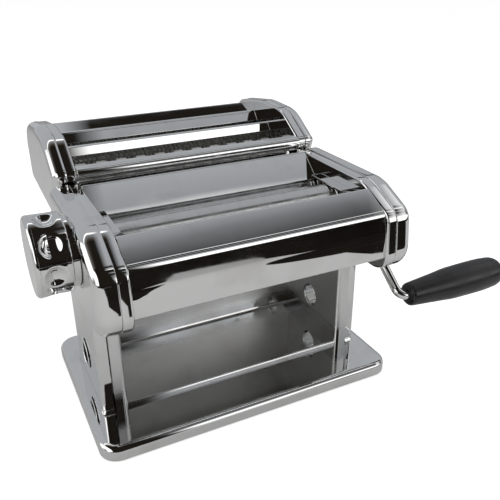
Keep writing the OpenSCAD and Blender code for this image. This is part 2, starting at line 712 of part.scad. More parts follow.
// Grip outline: bore with the clip's groove, then the swelling outside from its end back
groove_r = crank_rod_r + clip_t + loose;
module crank_grip() color(black_plastic)
    turned_x([[grip_x0, crank_rod_r + fit], [clip_x - loose, crank_rod_r + fit], [clip_x - loose, groove_r],
        [clip_x + clip_t + loose, groove_r], [clip_x + clip_t + loose, crank_rod_r + fit],
        [grip_bore_x, crank_rod_r + fit], [grip_bore_x, 0], [grip_end_x, 0], [grip_end_x - 0.6, 5],
        [grip_end_x - 2.4, 8.4], [grip_end_x - 5.5, 10], [grip_end_x - 10, grip_r - 0.4],
        [grip_end_x - 22, grip_r], [141, grip_r - 0.4], [136, grip_r - 0.9], [109, 7.7],
        [grip_x0, 6.6]], grip_y, grip_z);

// ---- Cutter attachment --------------------------------------------------------------

module cutter_frame() {
    web_x = frame_x + cutter_web_t;
    difference() {
        union() {
            difference() {
                along_x(frame_x, cutter_seam_x) polygon(rounded_loop(cutter_profile));
                along_x(web_x, cutter_seam_x + over) polygon(rounded_loop(inset_loop(cutter_profile, rim_wall)));
            }
            translate([tongue_x0, tongue_y, tongue_bridge_z])
                cube([frame_x - tongue_x0 + weld, tongue_d, tongue_bridge_h]);
            translate([tongue_x0, tongue_y, tongue_z])
                cube([tongue_x1 - tongue_x0, tongue_d, tongue_bridge_z + over - tongue_z]);
        }
        for (y = cutter_axes) rod_x(frame_x - over, cutter_seam_x, cutter_bush_r, y, cutter_z);
        for (p = cutter_rods) rod_x(frame_x - over, cutter_seam_x, cutter_rod_end_r, p[0], p[1]);
    }
}
module cutter_frame_left() color(chrome) mirror([1, 0, 0]) cutter_frame();
module cutter_frame_right() color(chrome) cutter_frame();

module cutter_cover()
    cover_shell(inset_loop(cutter_profile, -cutter_cover_grow), cutter_seam_x, cutter_cover_x);
module cutter_cover_left() color(chrome) mirror([1, 0, 0]) cutter_cover();
module cutter_cover_right() color(chrome) difference() {
    cutter_cover();
    for (y = [wide_axes[0], narrow_axes[1]])
        rod_x(cutter_cover_x - cover_wall - over, cutter_cover_x + over, sleeve_r + fit, y, cutter_z);
}

bar_path = [[24.2, 134.8, 0], [24.2, 139.4, 3.2], [34.8, 139.4, 2.5], [34.8, 134.8, 0]];
module cutter_front_bar() color(chrome) sheet_x(bar_path, -sheet_t, frame_x);

divider_path = [[66.2, 135.3, 0], [70.9, 140, 1.4], [74.5, 140, 1.4], [79.5, 134.5, 0]];
module cutter_divider() color(chrome) sheet_x(divider_path, -sheet_t, frame_x);

cutter_rear_path = [[87, 138.2, 0], [91.5, 144.6, 3], [115.6, 147.2, 8], [122.8, 134, 9],
    [122.2, 108, 0]];
module cutter_rear_cover() color(chrome) sheet_x(cutter_rear_path, -sheet_t, frame_x);

module cutter_tie_rods() color(steel)
    for (p = cutter_rods) {
        rod_x(-frame_x, frame_x, cutter_rod_r, p[0], p[1]);
        both_sides() {
            rod_x(frame_x - over, frame_x + cutter_rod_end, cutter_rod_end_r, p[0], p[1]);
            translate([frame_x + cutter_web_t, p[0], p[1]]) rotate([0, 90, 0])
                cylinder(h = cutter_nut_t, r = cutter_nut_r, $fn = 6);
        }
    }
module cutter_bushes() color(nylon)
    for (y = cutter_axes) both_sides()
        tube_x(frame_x - weld, cutter_bush_x1, journal_cut_r + fit, cutter_bush_r, y, cutter_z);

// Discs sit at whole steps of two cuts; a half step puts them in the partner's grooves
function disc_xs(cut, half) = let (n = floor(cutter_len / (4 * cut)))
    [for (i = [-n : n]) let (x = (2 * i + (half ? 1 : 0)) * cut) if (abs(x) < cutter_len / 2 - cut / 2) x];
core_r = pair_pitch - disc_r - loose;
side_gap = 0.08;
sleeve_r = key_r + 0.6;
sleeve_x0 = 76.5;
sleeve_floor = 1.6;

module cutting_roller(y, cut, half) {
    xs = disc_xs(cut, half);
    end = cutter_len / 2;
    translate([0, y, cutter_z]) rotate([0, 90, 0]) rotate_extrude()
        polygon(concat([[0, -end], [core_r, -end]],
            [for (x = xs) each [[core_r, x - cut / 2 + side_gap], [disc_r, x - cut / 2 + side_gap],
                [disc_r, x + cut / 2 - side_gap], [core_r, x + cut / 2 - side_gap]]],
            [[core_r, end], [0, end]]));
    rod_x(-cutter_gear_x1 - loose, -end + over, journal_cut_r, y, cutter_z);
    rod_x(end - over, sleeve_x0, journal_cut_r, y, cutter_z);
}
// The driven roller of a pair ends in a socket for the crank
module drive_sleeve(y) {
    difference() {
        rod_x(sleeve_x0, cutter_socket_x, sleeve_r, y, cutter_z);
        socket_cut(sleeve_x0 + sleeve_floor, cutter_socket_x + over, y, cutter_z);
    }
}
module wide_roller_front() color(steel) {
    cutting_roller(wide_axes[0], wide_cut, true);
    drive_sleeve(wide_axes[0]);
}
module wide_roller_rear() color(steel) cutting_roller(wide_axes[1], wide_cut, false);
module narrow_roller_front() color(steel) cutting_roller(narrow_axes[0], narrow_cut, false);
module narrow_roller_rear() color(steel) {
    cutting_roller(narrow_axes[1], narrow_cut, true);
    drive_sleeve(narrow_axes[1]);
}

cut_teeth = 12;
cut_root_r = 7.2;
cut_tip_r = 9;
cut_root_half = 6.4;
cut_tip_half = 3.2;
module cutter_gear(y, phase) {
    difference() {
        translate([0, y, cutter_z]) along_x(-cutter_gear_x1, -cutter_gear_x0)
            polygon(gear_outline(cut_teeth, cut_root_r, cut_tip_r, cut_root_half, cut_tip_half, phase));
        rod_x(-cutter_gear_x1 - over, -cutter_gear_x0 + over, journal_cut_r, y, cutter_z);
    }
}
module wide_gear_front() color(steel) cutter_gear(wide_axes[0], 0);
module wide_gear_rear() color(steel) cutter_gear(wide_axes[1], 180 / cut_teeth);
module narrow_gear_front() color(steel) cutter_gear(narrow_axes[0], 0);
module narrow_gear_rear() color(steel) cutter_gear(narrow_axes[1], 180 / cut_teeth);

// Bar under one cutting roller with a tooth in each of its grooves; side is 1 or -1 in Y
comb_near = 1;
comb_far = 4.3;
comb_z = 108.4;
comb_h = 2.8;
tooth_d = 2.4;
tooth_z = 111;
tooth_h = 4.1;
module comb_bar(y, side, cut, half) {
    bar_y = side > 0 ? y + comb_near : y - comb_far;
    tooth_y = side > 0 ? y + comb_far - tooth_d : y - comb_far;
    translate([-frame_x, bar_y, comb_z]) cube([2 * frame_x, comb_far - comb_near, comb_h]);
    for (x = disc_xs(cut, !half))
        if (abs(x) < cutter_len / 2 - cut)
            translate([x - cut / 2 + loose, tooth_y, tooth_z]) cube([cut - 2 * loose, tooth_d, tooth_h]);
}
module wide_comb() color(nylon) {
    comb_bar(wide_axes[0], -1, wide_cut, true);
    comb_bar(wide_axes[1], 1, wide_cut, false);
}
module narrow_comb() color(nylon) {
    comb_bar(narrow_axes[0], -1, narrow_cut, false);
    comb_bar(narrow_axes[1], 1, narrow_cut, true);
}

// ---- Output -------------------------------------------------------------------------

base_plate();
base_feet();
stand_tray();
leg_left();
leg_right();
clamp_tube_left();
clamp_tube_right();
stand_screws();
side_frame_left();
side_frame_right();
end_cover_left();
end_cover_right();
front_cover();
rear_cover();
hopper_panel();
feed_guide_left();
feed_guide_right();
rear_scraper();
tie_rods();
tie_rod_nuts();
roller_bushes();
locating_ring();
knob_bush();
rear_roller();
rear_roller_gear();
carrier_left();
carrier_right();
carrier_bridge();
front_scraper();
front_roller();
front_roller_gear();
knob_shaft();
knob_cam();
knob_end_screw();
knob_spring();
knob();
knob_cap();
locating_pin();
crank_arm();
grip_clip();
crank_grip();
cutter_frame_left();
cutter_frame_right();
cutter_cover_left();
cutter_cover_right();
cutter_front_bar();
cutter_divider();
cutter_rear_cover();
cutter_tie_rods();
cutter_bushes();
wide_comb();
narrow_comb();
wide_roller_front();
wide_roller_rear();
narrow_roller_front();
narrow_roller_rear();
wide_gear_front();
wide_gear_rear();
narrow_gear_front();
narrow_gear_rear();
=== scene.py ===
"""Looks of a hand-cranked pasta roller with a lift-off cutter attachment.

Lengths in the classes are millimetres in the part's own frame, and become metres when a mesh is made.
X runs along the rollers towards the crank, Y from the front cover back to the cutter, and Z is up.
"""

import json
import logging
import math
from dataclasses import dataclass, field
from enum import Enum
from typing import Callable, Optional, Sequence

import bmesh
import bpy
from mathutils import Matrix, Vector


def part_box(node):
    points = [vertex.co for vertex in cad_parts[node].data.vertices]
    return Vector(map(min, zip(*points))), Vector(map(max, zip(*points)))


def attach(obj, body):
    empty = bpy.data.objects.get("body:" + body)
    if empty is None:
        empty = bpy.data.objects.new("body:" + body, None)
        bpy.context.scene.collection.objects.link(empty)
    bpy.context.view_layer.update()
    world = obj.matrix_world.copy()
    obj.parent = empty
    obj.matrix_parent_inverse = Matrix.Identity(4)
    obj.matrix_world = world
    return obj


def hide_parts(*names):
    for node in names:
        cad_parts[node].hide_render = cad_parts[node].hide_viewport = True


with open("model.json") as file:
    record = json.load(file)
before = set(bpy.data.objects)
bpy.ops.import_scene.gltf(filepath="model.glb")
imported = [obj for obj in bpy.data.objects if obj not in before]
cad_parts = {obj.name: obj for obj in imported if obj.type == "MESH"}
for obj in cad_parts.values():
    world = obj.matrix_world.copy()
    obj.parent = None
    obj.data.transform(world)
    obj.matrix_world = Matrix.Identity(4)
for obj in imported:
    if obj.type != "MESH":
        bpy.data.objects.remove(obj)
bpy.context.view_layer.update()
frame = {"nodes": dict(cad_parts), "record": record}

LOG = logging.getLogger("pasta_roller")
MM = 0.001
ARC_STEPS = 10
SHARP_ANGLE = math.radians(34)
BEVEL_ANGLE = math.radians(40)

Point2 = tuple[float, float]
Point3 = tuple[float, float, float]


class Side(Enum):
    """Which end of the machine a piece is on."""

    LEFT = -1
    RIGHT = 1

    @property
    def word(self) -> str:
        """The side as the pieces' names have it."""
        return self.name.lower()

    def span(self, inner: float, outer: float) -> tuple[float, float]:
        """A stretch of X on this side, lowest first."""
        return min(self.value * inner, self.value * outer), max(self.value * inner, self.value * outer)

    def mirrored(self, rings: Sequence[Sequence[Point3]]) -> list[list[Point3]]:
        """Rings that were made for the right side, on this one."""
        return [[(self.value * x, y, z) for x, y, z in ring] for ring in rings]


class Slot(Enum):
    """Material slots of the record that the pieces are finished from."""

    CHROME = "chrome_plate"
    STEEL = "steel"
    ALUMINIUM = "anodised_aluminium"
    NYLON = "nylon"
    GRIP = "grip_plastic"
    RUBBER = "rubber_feet"


# ---- Outlines ---------------------------------------------------------------------------


@dataclass(frozen=True)
class Corner:
    """A corner of an outline, with the radius that rounds it."""

    u: float
    v: float
    r: float = 0.0

    @property
    def point(self) -> Point2:
        """The corner without its radius."""
        return (self.u, self.v)


def corners(*values: Sequence[float]) -> list[Corner]:
    """Turns (u, v, radius) triples into corners.

    Args:
        values: The triples, where the radius may be left out.

    Returns:
        One corner for each triple.
    """
    return [Corner(*value) for value in values]


def direction(start: Point2, end: Point2) -> Point2:
    """The unit vector from one point to another.

    Args:
        start: First point.
        end: Second point.

    Returns:
        A vector of length 1.
    """
    du, dv = end[0] - start[0], end[1] - start[1]
    length = math.hypot(du, dv)
    return (du / length, dv / length)


def rounded(before: Corner, corner: Corner, after: Corner, steps: int = ARC_STEPS) -> list[Point2]:
    """The points that stand for one corner of an outline.

    Args:
        before: Corner before it.
        corner: The corner to round.
        after: Corner after it.
        steps: Number of chords of the arc.

    Returns:
        The arc's points, or the bare corner where its radius is 0.
    """
    if corner.r <= 0:
        return [corner.point]
    a = direction(corner.point, before.point)
    b = direction(corner.point, after.point)
    half = math.acos(max(-1.0, min(1.0, a[0] * b[0] + a[1] * b[1]))) / 2
    reach = corner.r / math.tan(half)
    middle = math.hypot(a[0] + b[0], a[1] + b[1])
    cu = corner.u + (a[0] + b[0]) / middle * corner.r / math.sin(half)
    cv = corner.v + (a[1] + b[1]) / middle * corner.r / math.sin(half)
    start = math.atan2(corner.v + a[1] * reach - cv, corner.u + a[0] * reach - cu)
    end = math.atan2(corner.v + b[1] * reach - cv, corner.u + b[0] * reach - cu)
    turn = (end - start + math.pi) % (2 * math.pi) - math.pi
    angles = [start + turn * i / steps for i in range(steps + 1)]
    return [(cu + corner.r * math.cos(t), cv + corner.r * math.sin(t)) for t in angles]


def loop_points(outline: Sequence[Corner]) -> list[Point2]:
    """Points round a closed outline with its corners rounded."""
    n = len(outline)
    return [p for i in range(n) for p in rounded(outline[i - 1], outline[i], outline[(i + 1) % n])]


def path_points(outline: Sequence[Corner]) -> list[Point2]:
    """Points along an open outline with its inner corners rounded."""
    points = [outline[0].point]
    for i in range(1, len(outline) - 1):
        points += rounded(outline[i - 1], outline[i], outline[i + 1])
    return points + [outline[-1].point]


def moved(corner: Corner, ahead: Point2, behind: Point2, distance: float) -> Corner:
    """A corner moved to the left of its path, with its radius changed to match.

    Args:
        corner: The corner to move.
        ahead: Direction in which the path arrives.
        behind: Direction in which the path leaves.
        distance: How far to move it, to the left where positive.

    Returns:
        The moved corner.
    """
    nu, nv = -ahead[1] - behind[1], ahead[0] + behind[0]
    length = math.hypot(nu, nv)
    nu, nv = nu / length, nv / length
    k = distance / (nu * -ahead[1] + nv * ahead[0])
    left = 1 if ahead[0] * behind[1] - ahead[1] * behind[0] > 0 else -1
    radius = max(corner.r - left * distance, 0.2) if corner.r > 0 else 0.0
    return Corner(corner.u + nu * k, corner.v + nv * k, radius)


def inset_loop(outline: Sequence[Corner], distance: float) -> list[Corner]:
    """A closed outline, run anticlockwise, moved inwards by a distance."""
    n = len(outline)
    return [
        moved(
            outline[i],
            direction(outline[i - 1].point, outline[i].point),
            direction(outline[i].point, outline[(i + 1) % n].point),
            distance,
        )
        for i in range(n)
    ]


def inset_path(outline: Sequence[Corner], distance: float) -> list[Corner]:
    """An open outline moved to its left by a distance."""
    n = len(outline)
    result = []
    for i in range(n):
        into, out_of = max(i, 1), min(i, n - 2)
        result.append(
            moved(
                outline[i],
                direction(outline[into - 1].point, outline[into].point),
                direction(outline[out_of].point, outline[out_of + 1].point),
                distance,
            )
        )
    return result


def sheet_points(outline: Sequence[Corner], thickness: float) -> list[Point2]:
    """Closed outline of a bent sheet whose one face follows an open outline."""
    return path_points(outline) + path_points(inset_path(outline, thickness))[::-1]


def rounded_rectangle(half_u: float, half_v: float, radius: float, inset: float = 0.0) -> list[Point2]:
    """Points round a rectangle about the origin, with round corners.

    Args:
        half_u: Half of its width.
        half_v: Half of its depth.
        radius: Radius of its corners.
        inset: How far it is shrunk on every side.

    Returns:
        The points, anticlockwise.
    """
    u, v, r = half_u - inset, half_v - inset, max(radius - inset, 0.2)
    return loop_points(corners((u, -v, r), (u, v, r), (-u, v, r), (-u, -v, r)))


def arc(centre: Point2, radius: float, start: float, end: float, steps: int = 6) -> list[Point2]:
    """Points along an arc, with its angles in degrees."""
    angles = [math.radians(start + (end - start) * i / steps) for i in range(steps + 1)]
    return [(centre[0] + radius * math.cos(t), centre[1] + radius * math.sin(t)) for t in angles]


# ---- Meshes -----------------------------------------------------------------------------


def placed(name: str, data: bpy.types.ID) -> bpy.types.Object:
    """Makes an object of a mesh, a camera or a light, and puts it in the scene."""
    piece = bpy.data.objects.new(name, data)
    bpy.context.scene.collection.objects.link(piece)
    return piece


def mesh_object(name: str, mesh: bmesh.types.BMesh) -> bpy.types.Object:
    """Makes an object of a finished bmesh, which it frees."""
    data = bpy.data.meshes.new(name)
    mesh.to_mesh(data)
    mesh.free()
    return placed(name, data)


class Solid:
    """A mesh that is built up from rings of points, in millimetres."""

    def __init__(self, name: str) -> None:
        """Starts an empty mesh."""
        self.name = name
        self.mesh = bmesh.new()

    def ring(self, points: Sequence[Point3]) -> list[bmesh.types.BMVert]:
        """Adds the points and returns their vertices."""
        return [self.mesh.verts.new(Vector(p) * MM) for p in points]

    def bridge(self, first: Sequence, second: Sequence, closed: bool = True) -> None:
        """Joins two rings of the same length with quads."""
        n = len(first)
        for i in range(n if closed else n - 1):
            j = (i + 1) % n
            self.mesh.faces.new((first[i], first[j], second[j], second[i]))

    def loft(self, rings: Sequence[Sequence[Point3]]) -> "Solid":
        """Skins a run of closed rings and closes both ends.

        Args:
            rings: Rings with equal numbers of points.

        Returns:
            This solid.
        """
        made = [self.ring(points) for points in rings]
        for first, second in zip(made, made[1:]):
            self.bridge(first, second)
        self.mesh.faces.new(made[0])
        self.mesh.faces.new(made[-1])
        return self

    def prism(self, outline: Sequence[Point2], x0: float, x1: float) -> "Solid":
        """Extrudes a (y, z) outline along X."""
        return self.loft([[(x, y, z) for y, z in outline] for x in (x0, x1)])

    def turned(
        self,
        profile: Sequence[Point2],
        y: float,
        z: float,
        steps: int = 96,
        shape: Optional[Callable[[float, float, float], float]] = None,
    ) -> "Solid":
        """Revolves (x, radius) points about a line along X.

        Args:
            profile: The points, where a radius of 0 closes the end in a pole.
            y: Place of the line in Y.
            z: Place of the line in Z.
            steps: Number of points round the line.
            shape: Gives the radius at an x, a radius and an angle, or None for a plain turning.

        Returns:
            This solid.
        """
        rows = []
        for x, radius in profile:
            if radius <= 1e-6:
                rows.append([self.mesh.verts.new(Vector((x, y, z)) * MM)] * steps)
                continue
            points = []
            for i in range(steps):
                angle = 2 * math.pi * i / steps
                r = shape(x, radius, angle) if shape else radius
                points.append((x, y + r * math.cos(angle), z + r * math.sin(angle)))
            rows.append(self.ring(points))
        closed = rows if profile[0] != profile[-1] else rows[:-1] + rows[:1]
        for first, second in zip(closed, closed[1:]):
            for i in range(steps):
                j = (i + 1) % steps
                unique = dict.fromkeys((first[i], first[j], second[j], second[i]))
                if len(unique) > 2:
                    self.mesh.faces.new(list(unique))
        return self

    def tube(self, path: Sequence[Point3], radius: float, steps: int = 32) -> "Solid":
        """Sweeps a circle along a path that bends gently.

        Args:
            path: Points along the centre line.
            radius: Radius of the rod.
            steps: Number of points round the rod.

        Returns:
            This solid.
        """
        points = [Vector(p) for p in path]
        normal = (points[1] - points[0]).orthogonal().normalized()
        rings = []
        for i, centre in enumerate(points):
            ahead = (points[min(i + 1, len(points) - 1)] - points[max(i - 1, 0)]).normalized()
            normal = (normal - ahead * normal.dot(ahead)).normalized()
            across = ahead.cross(normal)
            angles = [2 * math.pi * k / steps for k in range(steps)]
            spokes = [normal * math.cos(t) + across * math.sin(t) for t in angles]
            rings.append([tuple(centre + radius * spoke) for spoke in spokes])
        return self.loft(rings)

    def build(self, bevel: float = 0.0, segments: int = 2) -> bpy.types.Object:
        """Makes the object, with its faces smooth and its normals weighted by area.

        Args:
            bevel: Width of the rounding of sharp edges.
            segments: Number of steps of that rounding.

        Returns:
            The object, at the origin of the part's frame.
        """
        bmesh.ops.remove_doubles(self.mesh, verts=self.mesh.verts, dist=1e-7)
        bmesh.ops.recalc_face_normals(self.mesh, faces=self.mesh.faces)
        return shade(mesh_object(self.name, self.mesh), bevel, segments)


def shade(piece: bpy.types.Object, bevel: float = 0.0, segments: int = 2) -> bpy.types.Object:
    """Rounds a piece's sharp edges and smooths its shading.

    Args:
        piece: The object to shade.
        bevel: Width of the rounding in millimetres, or 0 for none.
        segments: Number of steps of that rounding.

    Returns:
        The same object.
    """
    piece.data.polygons.foreach_set("use_smooth", [True] * len(piece.data.polygons))
    piece.data.set_sharp_from_angle(angle=SHARP_ANGLE)
    if bevel > 0:
        rounding = piece.modifiers.new("edge_rounding", "BEVEL")
        rounding.width = bevel * MM
        rounding.segments = segments
        rounding.limit_method = "ANGLE"
        rounding.angle_limit = BEVEL_ANGLE
        rounding.miter_outer = "MITER_ARC"
    weighting = piece.modifiers.new("weighted_normals", "WEIGHTED_NORMAL")
    weighting.keep_sharp = True
    weighting.weight = 80
    return piece


def cut(piece: bpy.types.Object, *tools: Solid) -> bpy.types.Object:
    """Cuts solids out of a piece before it is shaded.

    Args:
        piece: The object to cut, whose modifiers are kept for afterwards.
        tools: What is cut away.

    Returns:
        The same object with a new mesh.
    """
    kept = [modifier.name for modifier in piece.modifiers]
    for name in kept:
        piece.modifiers[name].show_viewport = False
    for tool in tools:
        cutter = tool.build()
        cutter.modifiers.clear()
        boolean = piece.modifiers.new("cut", "BOOLEAN")
        boolean.operation = "DIFFERENCE"
        boolean.solver = "EXACT"
        boolean.object = cutter
        shown = piece.evaluated_get(bpy.context.evaluated_depsgraph_get())
        mesh = bpy.data.meshes.new_from_object(shown)
        piece.modifiers.remove(boolean)
        piece.data = mesh
        bpy.data.objects.remove(cutter)
    for name in kept:
        piece.modifiers[name].show_viewport = True
    piece.data.name = piece.name
    piece.data.set_sharp_from_angle(angle=SHARP_ANGLE)
    return piece


def rod_along_x(x0: float, x1: float, radius: float, y: float, z: float, steps: int = 64) -> Solid:
    """A plain round bar along X, for cutting holes."""
    return Solid("bar").turned([(x0, 0), (x0, radius), (x1, radius), (x1, 0)], y, z, steps)


def block(low: Point3, high: Point3, radius: float = 0.0) -> Solid:
    """A block whose edges along X are rounded.

    Args:
        low: Lowest corner.
        high: Highest corner.
        radius: Radius of those edges.

    Returns:
        The solid, not yet built.
    """
    outline = corners(
        (low[1], low[2], radius), (high[1], low[2], radius),
        (high[1], high[2], radius), (low[1], high[2], radius),
    )
    return Solid("block").prism(loop_points(outline), low[0], high[0])


# ---- Finishes ---------------------------------------------------------------------------


class Nodes:
    """Short names for building one material's node tree."""

    def __init__(self, name: str) -> None:
        """Starts a material with a Principled shader."""
        self.material = bpy.data.materials.new(name)
        self.material.use_nodes = True
        self.tree = self.material.node_tree
        self.shader = self.tree.nodes["Principled BSDF"]
        self.place = self.add("ShaderNodeTexCoord").outputs["Object"]

    def add(self, kind: str, **settings: object) -> bpy.types.Node:
        """Adds a node and sets its properties."""
        node = self.tree.nodes.new(kind)
        for key, value in settings.items():
            setattr(node, key, value)
        return node

    def link(self, output: bpy.types.NodeSocket, target: bpy.types.NodeSocket) -> None:
        """Joins two sockets."""
        self.tree.links.new(output, target)

    def noise(
        self, scale: float, detail: float = 4.0, stretch: Point3 = (1.0, 1.0, 1.0)
    ) -> bpy.types.NodeSocket:
        """Adds noise in the part's own frame.

        Args:
            scale: Noise scale, in cells per metre.
            detail: Number of octaves.
            stretch: Factor on the coordinates along X, Y and Z.

        Returns:
            The noise's value.
        """
        mapping = self.add("ShaderNodeMapping")
        mapping.inputs["Scale"].default_value = stretch
        self.link(self.place, mapping.inputs["Vector"])
        noise = self.add("ShaderNodeTexNoise")
        noise.inputs["Scale"].default_value = scale
        noise.inputs["Detail"].default_value = detail
        self.link(mapping.outputs["Vector"], noise.inputs["Vector"])
        return noise.outputs["Fac"]

    def scaled(
        self, value: bpy.types.NodeSocket, low: float, high: float, start: float = 0.35, end: float = 0.65
    ) -> bpy.types.NodeSocket:
        """Maps noise to a range.

        Args:
            value: The noise.
            low: Result at start.
            high: Result at end.
            start: Noise value that gives low.
            end: Noise value that gives high.

        Returns:
            The mapped value.
        """
        ranger = self.add("ShaderNodeMapRange")
        for key, number in (("From Min", start), ("From Max", end), ("To Min", low), ("To Max", high)):
            ranger.inputs[key].default_value = number
        self.link(value, ranger.inputs["Value"])
        return ranger.outputs["Result"]

    def blend(self, factor: bpy.types.NodeSocket, first: Point3, second: Point3) -> bpy.types.NodeSocket:
        """Blends two colours by a factor.

        Args:
            factor: Share of the second colour.
            first: First colour.
            second: Second colour.

        Returns:
            The blended colour.
        """
        mix = self.add("ShaderNodeMix", data_type="RGBA")
        mix.inputs["A"].default_value = (*first, 1.0)
        mix.inputs["B"].default_value = (*second, 1.0)
        self.link(factor, mix.inputs["Factor"])
        return mix.outputs["Result"]

    def math(
        self, operation: str, first: bpy.types.NodeSocket, second: bpy.types.NodeSocket | float
    ) -> bpy.types.NodeSocket:
        """Joins two values by a calculation, where the second may be a plain number."""
        node = self.add("ShaderNodeMath", operation=operation)
        self.link(first, node.inputs[0])
        if isinstance(second, float):
            node.inputs[1].default_value = second
        else:
            self.link(second, node.inputs[1])
        return node.outputs[0]

    def sum(self, first: bpy.types.NodeSocket, second: bpy.types.NodeSocket) -> bpy.types.NodeSocket:
        """Adds two values."""
        return self.math("ADD", first, second)

    def axes(self) -> bpy.types.Node:
        """Splits the place in the part's frame into X, Y and Z."""
        split = self.add("ShaderNodeSeparateXYZ")
        self.link(self.place, split.inputs[0])
        return split

    def bump(self, height: bpy.types.NodeSocket, distance: float, strength: float = 1.0) -> None:
        """Bends the surface's normals by a height in metres.

        Args:
            height: Height as a value from 0 to 1.
            distance: Depth of the relief, in metres.
            strength: Share of the effect.
        """
        node = self.add("ShaderNodeBump")
        node.inputs["Distance"].default_value = distance
        node.inputs["Strength"].default_value = strength
        self.link(height, node.inputs["Height"])
        self.link(node.outputs["Normal"], self.shader.inputs["Normal"])


@dataclass(frozen=True)
class PolishedChrome:
    """Bright plate with a faint roll of the sheet, wiping marks and cloudy stains.

    Where dulled is above 0, the plate is that much rougher over the fold between fold_low and fold_high.
    """

    name: str = "polished_chrome"
    light: Point3 = (0.80, 0.80, 0.795)
    stained: Point3 = (0.69, 0.68, 0.66)
    smooth: float = 0.015
    wiped: float = 0.06
    ripple: float = 0.00013
    dulled: float = 0.0
    fold_low: float = 0.017
    fold_high: float = 0.026

    def build(self) -> bpy.types.Material:
        """Makes the material."""
        n = Nodes(self.name)
        n.shader.inputs["Metallic"].default_value = 1.0
        stain = n.scaled(n.noise(38.0, 5.0), 0.0, 1.0, 0.52, 0.78)
        n.link(n.blend(stain, self.light, self.stained), n.shader.inputs["Base Color"])
        clouds = n.scaled(n.noise(55.0, 6.0), self.smooth, self.wiped, 0.42, 0.80)
        strokes = n.scaled(n.noise(120.0, 3.0, (0.3, 4.0, 4.0)), 0.0, 0.02, 0.5, 0.8)
        upright = n.scaled(n.axes().outputs["Z"], 0.0, self.dulled, self.fold_low, self.fold_high)
        n.link(n.sum(n.sum(clouds, strokes), upright), n.shader.inputs["Roughness"])
        n.bump(n.noise(26.0, 1.0, (0.35, 1.0, 1.0)), self.ripple)
        return n.material


@dataclass(frozen=True)
class TurnedMetal:
    """Metal with the fine lines of a turning or drawing tool round or along X."""

    name: str
    light: Point3
    dark: Point3
    smooth: float
    rough: float
    lines: Point3 = (90.0, 1.0, 1.0)

    def build(self) -> bpy.types.Material:
        """Makes the material."""
        n = Nodes(self.name)
        n.shader.inputs["Metallic"].default_value = 1.0
        lines = n.noise(40.0, 4.0, self.lines)
        n.link(n.blend(n.scaled(lines, 0.0, 1.0), self.light, self.dark), n.shader.inputs["Base Color"])
        n.link(n.scaled(n.noise(90.0, 5.0), self.smooth, self.rough), n.shader.inputs["Roughness"])
        n.bump(lines, 0.00002, 0.5)
        return n.material


@dataclass(frozen=True)
class Moulding:
    """Moulded plastic or rubber with a fine grain and handled, smoother patches."""

    name: str
    light: Point3
    dark: Point3
    smooth: float
    rough: float
    grain: float
    specular: float = 0.5

    def build(self) -> bpy.types.Material:
        """Makes the material."""
        n = Nodes(self.name)
        n.shader.inputs["Specular IOR Level"].default_value = self.specular
        patches = n.scaled(n.noise(60.0, 6.0), 0.0, 1.0)
        n.link(n.blend(patches, self.dark, self.light), n.shader.inputs["Base Color"])
        n.link(n.scaled(n.noise(85.0, 4.0), self.smooth, self.rough), n.shader.inputs["Roughness"])
        n.bump(n.noise(1800.0, 2.0), self.grain)
        return n.material


class Finishes:
    """Every material, made once, by the record's slot."""

    def __init__(self) -> None:
        """Makes the materials."""
        makers = {
            Slot.CHROME: PolishedChrome(),
            Slot.STEEL: TurnedMetal(
                "zinc_plated_steel", (0.62, 0.62, 0.63), (0.50, 0.50, 0.51), smooth=0.16, rough=0.30
            ),
            Slot.ALUMINIUM: TurnedMetal(
                "anodised_roller", (0.74, 0.74, 0.73), (0.62, 0.62, 0.61), smooth=0.14, rough=0.24
            ),
            Slot.NYLON: Moulding(
                "natural_nylon", (0.72, 0.70, 0.63), (0.64, 0.62, 0.55),
                smooth=0.40, rough=0.55, grain=0.00001,
            ),
            Slot.GRIP: Moulding(
                "black_grip", (0.016, 0.015, 0.016), (0.009, 0.009, 0.010),
                smooth=0.24, rough=0.40, grain=0.000012,
            ),
            Slot.RUBBER: Moulding(
                "foot_rubber", (0.035, 0.035, 0.035), (0.02, 0.02, 0.02),
                smooth=0.6, rough=0.8, grain=0.00003,
            ),
        }
        self.materials = {slot: maker.build() for slot, maker in makers.items()}
        box_plate = PolishedChrome("box_plate", smooth=0.05, wiped=0.11, ripple=0.0001, dulled=0.34)
        comb_rollers = TurnedMetal("cutting_rollers", (0.84, 0.83, 0.80), (0.70, 0.69, 0.66), 0.36, 0.5)
        self.box_plate = box_plate.build()
        self.comb_rollers = comb_rollers.build()

    def dress_nodes(self) -> None:
        """Gives every part of the frame the finish of its slot."""
        for entry in frame["record"]["subparts"]:
            node = frame["nodes"][entry["node"]]
            node.data.materials.clear()
            cutting = entry["node"].startswith(("wide_roller", "narrow_roller"))
            finish = self.comb_rollers if cutting else self.materials[Slot(entry["material_slot"])]
            node.data.materials.append(finish)

    def fit(
        self, piece: bpy.types.Object, body: str, slot: Slot, *stands_for: str
    ) -> bpy.types.Object:
        """Finishes a piece and lets it ride on its body.

        Args:
            piece: The object.
            body: Body that it moves with.
            slot: Slot that it is finished from.
            stands_for: Nodes of the frame that it replaces.

        Returns:
            The same object.
        """
        piece.data.materials.clear()
        piece.data.materials.append(self.materials[slot])
        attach(piece, body)
        if stands_for:
            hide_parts(*stands_for)
        LOG.info("%s rides on %s with %s", piece.name, body, slot.value)
        return piece

    def dull(self, piece: bpy.types.Object) -> None:
        """Gives a piece the duller plate of the box."""
        piece.data.materials.clear()
        piece.data.materials.append(self.box_plate)


# ---- Shared places ----------------------------------------------------------------------


